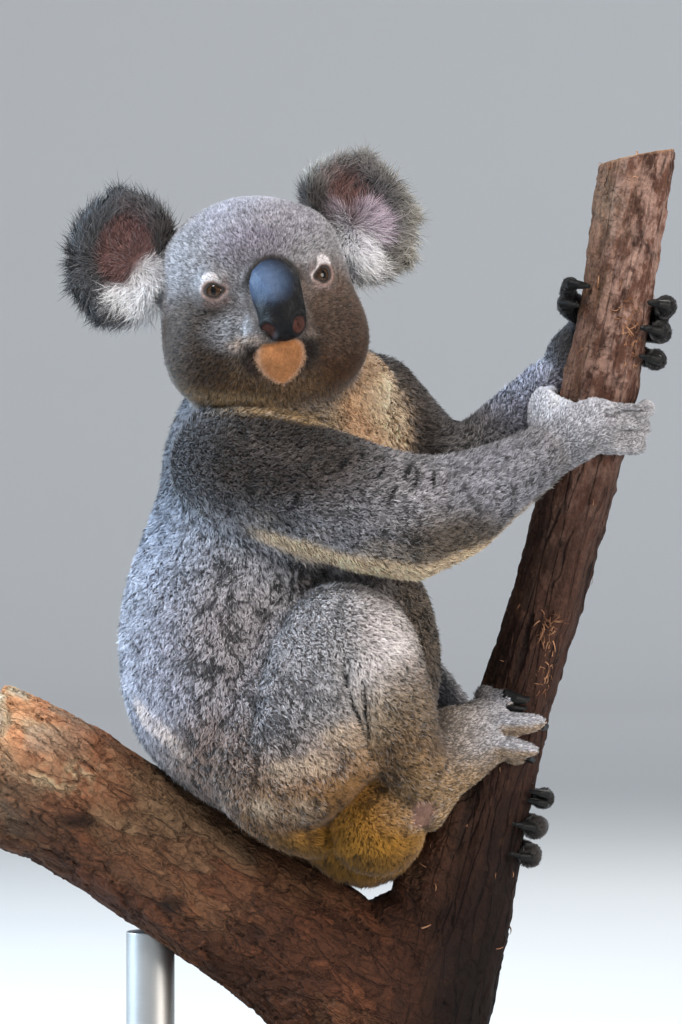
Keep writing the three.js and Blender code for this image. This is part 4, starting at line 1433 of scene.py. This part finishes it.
# the least area of a sawn end, what fills the fork's crotch, and the knots in the bark, with radii in millimetres
SAWN_AREA = 1500 * MM**2
CROTCH = (
    ((0.622, 0.5, 0.142), (44, 34, 36)),
    ((0.650, 0.5, 0.195), (26, 32, 26)),
    ((0.672, 0.5, 0.233), (22, 30, 26)),
    ((0.690, 0.5, 0.273), (20, 28, 26)),
)
KNOTS_IN_BARK = (((0.161, 0, 0.278), (14, 45, 6)), ((0.293, 0, 0.19), (9, 45, 7)))


def sawn_planes(obj):
    """The large flat ends, each as a normal and a distance from the origin."""
    found = {}
    areas = get(obj.data.polygons, "area", 1)
    facing = get(obj.data.polygons, "normal").astype(float)
    middles = get(obj.data.polygons, "center").astype(float)
    for n, m, a in zip(facing, middles, areas):
        key = tuple(np.round(n, 2)) + (round(float(n @ m), 3),)
        total, normal_sum = found.get(key, (0, 0))
        found[key] = (total + a, normal_sum + n * a)
    return [(unit(normal_sum), key[3]) for key, (total, normal_sum) in found.items() if total > SAWN_AREA]


ENDS = sawn_planes(wood)
filled = [lump(within("perch_fork", *at), (1, 0, 0), radii) for at, radii in CROTCH]
wood = joined([wood, *filled], "branch")
modify(wood, "REMESH", mode="VOXEL", voxel_size=2.5 * MM)
relax(wood, 14, back=0.42)
q, out = points(wood), outward(wood)
sawn = np.max([ramp(out @ n, 0.75, 0.95) * ramp(-np.abs(q @ n - d), -6 * MM, -3 * MM) for n, d in ENDS], 0)
low, high = (np.array(c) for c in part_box("perch_fork"))
post_foot, post_head = centre("stand_rod_stem"), np.array([high[0] - 0.03, 0, high[2]])
limb_foot = np.array([low[0], 0, centre("stand_rod_limb")[2] + 0.12])
POST_GRAIN = unit(post_head - post_foot)
LIMB_GRAIN = unit(np.array([0.83, 0, -0.55]))
on_limb = ramp((q - post_foot) @ np.cross(POST_GRAIN, (0, 1, 0)), -0.02, 0.05)


def along_grain(q, grain, stretch):
    """Coordinates that run slowly along a direction, so that patterns are drawn out along it."""
    return q - grain * (q @ grain)[:, None] * (1 - 1 / stretch)


def plates(q, size, seed):
    """Cells like scales of bark: a random height for each, and the distance to the nearest crack."""
    cell = np.floor(q / size).astype(np.int64)
    best, second, height = np.full(len(q), 9.0), np.full(len(q), 9.0), np.zeros(len(q))
    for step in np.ndindex(3, 3, 3):
        c = cell + np.array(step) - 1
        jitter = np.stack([scatter(c, seed + k) for k in range(3)], 1)
        d = np.linalg.norm(q / size - c - jitter, axis=1)
        nearer = d < best
        second = np.where(nearer, best, np.minimum(second, d))
        height = np.where(nearer, scatter(c, seed + 7), height)
        best = np.where(nearer, d, best)
    return height, second - best


warp = np.stack([cloud(q, 22 * MM, 40 + k) for k in range(3)], 1) * 6 * MM
ragged = np.stack([cloud(q, 5 * MM, 45 + k) for k in range(3)], 1) * 2.6 * MM
scaly = along_grain(q + warp * 0.6 + ragged, LIMB_GRAIN, 2.2)
scale_height, scale_gap = plates(scaly, 12 * MM, 50)
small_height = plates(scaly + ragged, 6 * MM, 60)[0]
crack_here = ramp(cloud(q, 18 * MM, 90) + cloud(q, 7 * MM, 91) * 0.5, -0.5, 0.2)
limb_relief = (scale_height - 0.5) * 1.9 + (small_height - 0.5) * 1.0
limb_relief -= 1.4 * (1 - ramp(scale_gap, 0.0, 0.14)) * crack_here
strings = along_grain(q + warp * 0.5, POST_GRAIN, 9)
string_relief = cloud(strings, 9 * MM, 70) * 0.8 + cloud(strings, 3.6 * MM, 71) * 0.6
upper = ramp(q[:, 2], level("perch_fork", 0.4), level("perch_fork", 0.8))
split = ramp(cloud(strings, 11 * MM, 72) + 0.4 * cloud(strings, 4 * MM, 73) - 0.22 * upper, 0.5, 0.72)
short_flakes = along_grain(q + warp * 0.5 + ragged, POST_GRAIN, 2.5)
flake_height = plates(short_flakes, 7 * MM, 55)[0]
string_relief += -1.8 * split + 1.1 * cloud(q, 16 * MM, 74) + 0.9 * cloud(q, 6 * MM, 75)
string_relief += (flake_height - 0.5) * 1.1
relief = (limb_relief * on_limb + string_relief * (1 - on_limb) + cloud(q, 60 * MM, 80) * 2) * (1 - sawn)
flat_rings = cloud(q, 3 * MM, 81) * 0.25 * sawn
place(wood, q + out * ((relief - 0.8 * (1 - sawn) + flat_rings) * MM)[:, None])
modify(wood, "TRIANGULATE")
store(wood, "Sawn", sawn)
store(wood, "Limb", on_limb)
store(wood, "Crack", (1 - ramp(scale_gap, 0.0, 0.12)) * crack_here * on_limb + split * (1 - on_limb))
scales = scale_height * 0.6 + small_height * 0.4
store(wood, "Flake", np.where(on_limb > 0.5, scales, 0.5 + string_relief * 0.25))
along_limb = (q - limb_foot) @ LIMB_GRAIN
along_post = (q[:, 2] - low[2]) / (high[2] - low[2])
# paler bark towards the outer end of the limb, partly painted light, and towards the top of the post
pale_end_share = on_limb * ramp(-along_limb, -0.06, 0.16) + (1 - on_limb) * ramp(along_post, 0.45, 0.9)
store(wood, "PaleEnds", np.clip(pale_end_share, 0, 1))
# painted shade on the post, dark at its foot and lighter towards its top, and painted light on the upward faces of
# the limb's outer end; the knots below darken it too
post_painted_shade = 0.09 + 0.41 * ramp(along_post, 0.1, 0.45) + 0.45 * ramp(along_post, 0.55, 0.85)
limb_painted_light = 0.7 + 2.3 * ramp(-along_limb, -0.1, 0.08) * ramp(out[:, 2], -0.35, 0.4)
tone = post_painted_shade * (1 - on_limb) + limb_painted_light * on_limb
high_limb, high_post = on_limb * ramp(-along_limb, -0.08, 0.1), (1 - on_limb) * ramp(along_post, 0.05, 0.4)
# each primary's share: warmer low down, paler high on the limb, in blotches, and greenish where lichen grows
low_down = 1 - high_limb - high_post
warmth = np.ones(3) + np.outer(high_limb, (0, 0.62, 0.9)) - np.outer(low_down, (0, 0.18, 0.36))
for at, radii in KNOTS_IN_BARK:
    tone = tone * (1 - 0.8 * spot(q, within("perch_fork", *at), np.array(radii) * MM * (1, 2, 1), 0.6))
blotchy = cloud(q, 15 * MM, 93)
warmth = warmth * (1 + np.outer(high_limb * ramp(blotchy, 0.0, 0.25), (0.3, -0.25, -0.5)))
warmth = warmth * (1 + np.outer(high_limb * ramp(-blotchy, 0.1, 0.35), (-0.05, 0.12, 0.4)))
lichen = spot(q, within("perch_fork", 0.15, 0, 0.325), np.array([22, 90, 11]) * MM, 0.7)
lichen = lichen * ramp(cloud(q, 4 * MM, 92), -0.2, 0.2)
warmth = warmth + np.outer(lichen, (0.6, 1.3, 1.4))
store(wood, "Tone", tone[:, None] * warmth)

bark = Finish("bark", Specular_IOR_Level=0.22)
crack, flake, pale_ends = bark.stored("Crack", 2), bark.stored("Flake", 2), bark.stored("PaleEnds", 2)
limb_share, cut = bark.stored("Limb", 2), bark.stored("Sawn", 2)
post_lean = math.atan2(POST_GRAIN[0], POST_GRAIN[2])
limb_lean = math.atan2(LIMB_GRAIN[2], LIMB_GRAIN[0])


def frayed(at, size, amount):
    """Coordinates pushed about by a noise, so that edges come out ragged."""
    push = bark.add("ShaderNodeTexNoise", None, {"Vector": at, "Scale": size, "Detail": 4.0}, 1)
    centred = bark.add("ShaderNodeVectorMath", {"operation": "SUBTRACT"}, {0: push, 1: (0.5, 0.5, 0.5)})
    scaled = bark.add("ShaderNodeVectorMath", {"operation": "SCALE"}, {0: centred, 3: amount})
    return bark.add("ShaderNodeVectorMath", {"operation": "ADD"}, {0: at, 1: scaled})


def cells(at, scale, feature="F1", out=0):
    return bark.add("ShaderNodeTexVoronoi", {"feature": feature}, {"Vector": at, "Scale": scale}, out)


grit = bark.noise(bark.place(), 420.0, 5.0, 0.65)
lumps = bark.noise(bark.place(), 45.0, 5.0, 0.6)
patches = bark.noise(bark.place(), 13.0, 3.0, 0.5)
# the limb: thin ragged plates drawn out along it, with dark cracks between them
limb_at = frayed(bark.place((0.42, 1, 1), (0, limb_lean, 0)), 90.0, 0.022)
plate_edge = cells(limb_at, 52.0, "DISTANCE_TO_EDGE")
chip_edge = cells(limb_at, 150.0, "DISTANCE_TO_EDGE")
plate_shade = bark.noise(cells(limb_at, 52.0, "F1", 2), 9.0, 0.0)
chip_shade = bark.noise(cells(limb_at, 150.0, "F1", 2), 23.0, 0.0)
limb_cracks = 1 - plate_edge.above(0.0, 0.07)
limb_chips = 1 - chip_edge.above(0.0, 0.12)
limb_colour = bark.mix(plate_shade.above(0.3, 0.7), (0.085, 0.036, 0.021), (0.19, 0.095, 0.056))
limb_colour = bark.mix(chip_shade.above(0.5, 0.75) * 0.55, limb_colour, (0.26, 0.15, 0.09))
limb_colour = bark.mix(flake.above(0.55, 0.85) * 0.5, limb_colour, (0.21, 0.085, 0.045))
pale_plates = patches.above(0.52, 0.66) * plate_shade.above(0.45, 0.6) * 0.6
limb_colour = bark.mix(pale_plates, limb_colour, (0.3, 0.23, 0.16))
limb_colour = bark.mix(pale_ends * lumps.above(0.35, 0.6) * 0.75, limb_colour, (0.38, 0.23, 0.13))
limb_colour = bark.mix(limb_chips * 0.12, limb_colour, (0.05, 0.025, 0.016))
limb_colour = bark.mix(limb_cracks * lumps.above(0.42, 0.6) * 0.38, limb_colour, (0.025, 0.012, 0.008))
# the post: strings and splits along the grain, and short flakes
post_at = frayed(bark.place((1, 1, 0.11), (0, -post_lean, 0)), 40.0, 0.012)
fibres = bark.noise(bark.place((1, 1, 0.06), (0, -post_lean, 0)), 320.0, 6.0, 0.7)
coarse_fibres = bark.noise(bark.place((1, 1, 0.12), (0, -post_lean, 0)), 90.0, 6.0, 0.65)
string_edge = cells(post_at, 110.0, "DISTANCE_TO_EDGE")
string_shade = bark.noise(cells(post_at, 110.0, "F1", 2), 13.0, 0.0)
flakes = bark.noise(bark.place((1, 1, 0.55), (0, -post_lean, 0)), 110.0, 6.0, 0.7)
post_cracks = 1 - string_edge.above(0.0, 0.1)
post_colour = bark.mix(coarse_fibres.above(0.35, 0.68), (0.03, 0.012, 0.009), (0.12, 0.052, 0.036))
post_colour = bark.mix(string_shade.above(0.5, 0.7) * 0.6, post_colour, (0.17, 0.075, 0.048))
post_colour = bark.mix(flakes.above(0.56, 0.66) * 0.7, post_colour, (0.2, 0.095, 0.06))
post_colour = bark.mix(pale_ends * flakes.above(0.42, 0.6) * 0.85, post_colour, (0.4, 0.25, 0.2))
post_colour = bark.mix(fibres.above(0.56, 0.8) * 0.5, post_colour, (0.3, 0.17, 0.12))
post_colour = bark.mix(post_cracks * lumps.above(0.5, 0.62) * 0.7, post_colour, (0.012, 0.006, 0.005))
colour = bark.mix(limb_share, post_colour, limb_colour)
colour = bark.mix(1.0, colour, bark.stored("Tone"), "MULTIPLY")
colour = bark.mix(crack * (limb_share * -0.5 + 0.9), colour, (0.014, 0.007, 0.005))
colour = bark.grainy(0.6, colour, grit.above(0.25, 0.75), 0.5, 1.4)
ring_inputs = {"Vector": bark.place(), "Scale": 60.0, "Distortion": 3.0}
rings = bark.add("ShaderNodeTexWave", {"wave_type": "RINGS"}, ring_inputs)
timber = bark.mix(rings * 0.5 + grit * 0.4, (0.42, 0.24, 0.14), (0.24, 0.13, 0.075))
limb_height = plate_shade * 1.2 + chip_shade * 0.5 - limb_cracks * 0.7 - limb_chips * 0.25
post_height = coarse_fibres * 0.8 + flakes * 0.5 + fibres * 0.4 - post_cracks * 0.6
height = limb_height * limb_share + post_height * (1 - limb_share)
bark.set(
    Base_Color=bark.mix(cut, colour, timber),
    Roughness=grit * 0.2 + 0.72,
    Normal=bark.bump(grit, 0.0014, 0.7, bark.bump(height, 0.004, 0.9)),
)
wood.data.materials.append(bark.material)
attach(wood, "root")
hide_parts("perch_fork")

# ---------------------------------------------------------------- loose fibres on the bark
# one curl of bark, which is laid on the bark many times; it is about one unit long
strip = primitive(bpy.ops.mesh.primitive_grid_add, x_subdivisions=12, y_subdivisions=1, size=1)
along, aside = points(strip)[:, 0] + 0.5, points(strip)[:, 1]
angle = along * 4.2
curl = [np.sin(angle) * (0.3 - 0.1 * along), aside * 0.12 * (1.1 - along), along * 0.5 - np.cos(angle) * 0.2 + 0.2]
place(strip, np.stack(curl, 1))
modify(strip, "SOLIDIFY", thickness=0.014)
curl, curl_faces = points(strip), [tuple(f.vertices) for f in strip.data.polygons]
bpy.data.objects.remove(strip)
bark_at = get(wood.data.polygons, "center").astype(float)
bark_out = get(wood.data.polygons, "normal").astype(float)
dice = np.random.default_rng(7)
# where the fibres hang: the place on the branch's box, how far round it they reach in metres, and their number
FIBRES = (
    ((0.93, 0.1, 0.815), 0.016, 90),
    ((0.945, 0.2, 0.78), 0.016, 80),
    ((0.815, 0.1, 0.48), 0.016, 90),
    ((0.82, 0.15, 0.43), 0.016, 70),
    ((0.785, 0.2, 0.655), 0.016, 70),
    ((0.84, 0.5, 0.55), 0.17, 120),
)
fibre_co, fibre_faces = [], []
for at, reach, number in FIBRES:
    off = np.linalg.norm((bark_at - within("perch_fork", *at)) * (1, 0.6, 0.5), axis=1)
    near = np.nonzero((off < reach) & (bark_out[:, 1] < 0.4))[0]
    for k in dice.choice(near, min(number, len(near)), replace=False):
        up = unit(bark_out[k] + dice.normal(0, 0.5, 3))
        side_way = unit(np.cross(up, unit(POST_GRAIN * dice.choice((-1, 1)) + dice.normal(0, 0.8, 3))))
        axes = np.array([up, side_way, np.cross(up, side_way)])
        size = dice.uniform(4, 9.5) * MM
        spread_out = np.array([dice.uniform(0.5, 1.2), dice.uniform(0.7, 1.6), dice.uniform(0.7, 1.5)])
        first_corner = sum(len(c) for c in fibre_co)
        fibre_co.append(bark_at[k] - bark_out[k] * 2 * MM + curl * spread_out * size @ axes)
        fibre_faces += [tuple(first_corner + i for i in face) for face in curl_faces]
fibre_mesh = bpy.data.meshes.new("bark_fibres")
fibre_mesh.from_pydata(np.concatenate(fibre_co).tolist(), [], fibre_faces)
fibres_piece = added("bark_fibres", fibre_mesh)
edit(fibres_piece, (bpy.ops.mesh.normals_make_consistent, {}))
smooth(fibres_piece)
bast = Finish("bast", Roughness=0.8, Specular_IOR_Level=0.2)
tangle = bast.noise(bast.place(), 90.0).above(0.35, 0.65)
bast.set(Base_Color=bast.mix(tangle, (0.17, 0.075, 0.04), (0.46, 0.24, 0.13)))
fibres_piece.data.materials.append(bast.material)
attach(fibres_piece, "root")

# ---------------------------------------------------------------- the stand
base_low, base_high = (np.array(c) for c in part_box("stand_base"))
base_size = base_high - base_low
board = primitive(bpy.ops.mesh.primitive_cube_add, size=1, location=tuple((base_low + base_high) / 2))
board.name = "stand_board"
board.scale = tuple(base_size)
bpy.ops.object.transform_apply(location=True, rotation=False, scale=True)
rim = get(board.data.edges, "vertices", 2, np.int32)
standing = np.abs(points(board)[rim[:, 0], 2] - points(board)[rim[:, 1], 2]) > base_size[2] / 2


def select_standing():
    """Selects the board's four upright edges."""
    for edge, stands in zip(board.data.edges, standing):
        edge.select = bool(stands)


select_standing()
bpy.ops.object.mode_set(mode="EDIT")
bpy.ops.mesh.select_mode(type="EDGE")
bpy.ops.object.mode_set(mode="OBJECT")
select_standing()
bpy.ops.object.mode_set(mode="EDIT")
bpy.ops.mesh.bevel(offset=14 * MM, segments=8)
bpy.ops.object.mode_set(mode="OBJECT")
modify(board, "BEVEL", width=2.5 * MM, segments=4, limit_method="ANGLE", angle_limit=math.radians(40))
stain = Finish("stained board", Specular_IOR_Level=0.4)
veins = stain.noise(stain.place((1.0, 14, 14)), 9.0, 6.0, 0.6)
pores = stain.noise(stain.place((3, 90, 90)), 12.0, 3.0, 0.5)
stain.set(
    Base_Color=stain.mix(veins.above(0.3, 0.7), (0.03, 0.024, 0.02), (0.075, 0.056, 0.044)),
    Roughness=veins * 0.15 + 0.36,
    Normal=stain.bump(pores, 0.0005, 0.4),
)
board.data.materials.append(stain.material)
smooth(board, 35)
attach(board, "root")
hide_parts("stand_base")

steel = Finish("brushed steel", Metallic=1.0)
brushing = steel.noise(steel.place((1, 1, 60)), 60.0, 4.0)
steel.set(
    Base_Color=steel.mix(brushing, (0.38, 0.38, 0.375), (0.52, 0.52, 0.51)),
    Roughness=brushing * 0.2 + 0.36,
    Normal=steel.bump(brushing, 0.0002, 0.3),
)
COLLAR_HEIGHT, COLLAR_WIDENS = 9 * MM, 1.35
for node in ("stand_rod_stem", "stand_rod_limb"):
    rod_low, rod_high = (np.array(c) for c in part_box(node))
    wide, _, tall = rod_high - rod_low
    middle = (rod_low + rod_high) / 2
    turned = {"vertices": 64, "radius": wide / 2, "depth": tall, "location": tuple(middle)}
    rod = primitive(bpy.ops.mesh.primitive_cylinder_add, **turned)
    rod.name = node + "_turned"
    bpy.ops.object.transform_apply(location=True, rotation=False, scale=True)
    collar_top = rod_low[2] + COLLAR_HEIGHT
    for cut_at in (collar_top, collar_top + 0.2 * MM):
        edit(rod, (bpy.ops.mesh.bisect, {"plane_co": (0, 0, cut_at), "plane_no": (0, 0, 1)}))
    co = points(rod)
    flare = np.where(co[:, 2] < collar_top + 0.1 * MM, COLLAR_WIDENS, 1.0)[:, None]
    co[:, :2] = middle[:2] + (co[:, :2] - middle[:2]) * flare
    place(rod, co)
    modify(rod, "BEVEL", width=1.2 * MM, segments=3, limit_method="ANGLE", angle_limit=math.radians(40))
    smooth(rod, 35)
    rod.data.materials.append(steel.material)
    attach(rod, "root")
    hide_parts(node)

# ---------------------------------------------------------------- stage, lights and camera
camera = added("Camera", bpy.data.cameras.new("Camera"))
camera.data.lens = 160
camera.location = (0, -3.2, 0.458)
camera.rotation_euler = (math.radians(90), 0, 0)
bpy.context.scene.camera = camera
# name, place, size in metres, power in watts and colour of each lamp; all face one place
AIM = Vector((0, 0, 0.45))
LAMPS = (
    ("key", (-0.9, -1.7, 2.8), 0.8, 75, (1.0, 0.98, 0.95)),
    ("fill", (2.3, -1.7, 1.1), 1.4, 55, (1.0, 0.92, 0.83)),
    ("rim", (-2.5, 0.2, 1.5), 1.2, 150, (0.6, 0.8, 1.0)),
    ("back", (1.2, 2.2, 2.2), 1.2, 35, (1.0, 0.97, 0.93)),
)
for name, at, size, power, colour in LAMPS:
    lamp = added(name, bpy.data.lights.new(name, "AREA"))
    lamp.data.shape, lamp.data.size, lamp.data.energy, lamp.data.color = "DISK", size, power, colour
    lamp.location = at
    lamp.rotation_euler = (AIM - Vector(at)).to_track_quat("-Z", "Y").to_euler()
world = bpy.data.worlds.new("World")
bpy.context.scene.world = world
world.use_nodes = True
sky = world.node_tree.nodes["Background"]
sky.inputs["Color"].default_value = (0.9, 0.93, 1.0, 1)
sky.inputs["Strength"].default_value = 0.42
bpy.context.scene.view_settings.view_transform = "Standard"

# a round pale floor whose edge curves up into a low wall
FLOOR_RADIUS, WALL_HEIGHT, WALL_CURVE = 7.6, 3.2, 1.6
floor = primitive(bpy.ops.mesh.primitive_circle_add, vertices=128, radius=FLOOR_RADIUS, fill_type="NGON")
floor.name = "floor"
turns = np.radians([15, 30, 45, 60, 75, 90])
turn_up = [(WALL_CURVE * math.sin(a), WALL_CURVE * (1 - math.cos(a))) for a in turns]
reach, risen = 0.0, 0.0
bpy.ops.object.mode_set(mode="EDIT")
bpy.ops.mesh.select_mode(type="EDGE")
bpy.ops.mesh.select_all(action="SELECT")
for out_to, up_to in [*turn_up, (WALL_CURVE, WALL_HEIGHT)]:
    grown = (FLOOR_RADIUS + out_to) / (FLOOR_RADIUS + reach)
    bpy.ops.mesh.extrude_edges_move(TRANSFORM_OT_translate={"value": (0, 0, up_to - risen)})
    bpy.ops.transform.resize(value=(grown, grown, 1), center_override=(0, 0, 0))
    reach, risen = out_to, up_to
bpy.ops.mesh.select_all(action="SELECT")
bpy.ops.mesh.normals_make_consistent(inside=False)
bpy.ops.object.mode_set(mode="OBJECT")
bpy.ops.object.shade_smooth()
paper = Finish("pale floor", Roughness=0.85, Specular_IOR_Level=0.2)
mottle = paper.noise(paper.place(), 1.2, 3.0)
far_off = paper.add("ShaderNodeVectorMath", {"operation": "LENGTH"}, {0: paper.place()}, 1)
tone_near = paper.mix(mottle, (0.60, 0.61, 0.61), (0.66, 0.66, 0.65))
paper.set(Base_Color=paper.mix(far_off.above(3.0, 7.0), tone_near, (0.88, 0.89, 0.89)))
floor.data.materials.append(paper.material)

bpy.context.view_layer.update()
if "Cube" in bpy.data.objects:
    bpy.data.objects.remove(bpy.data.objects["Cube"])
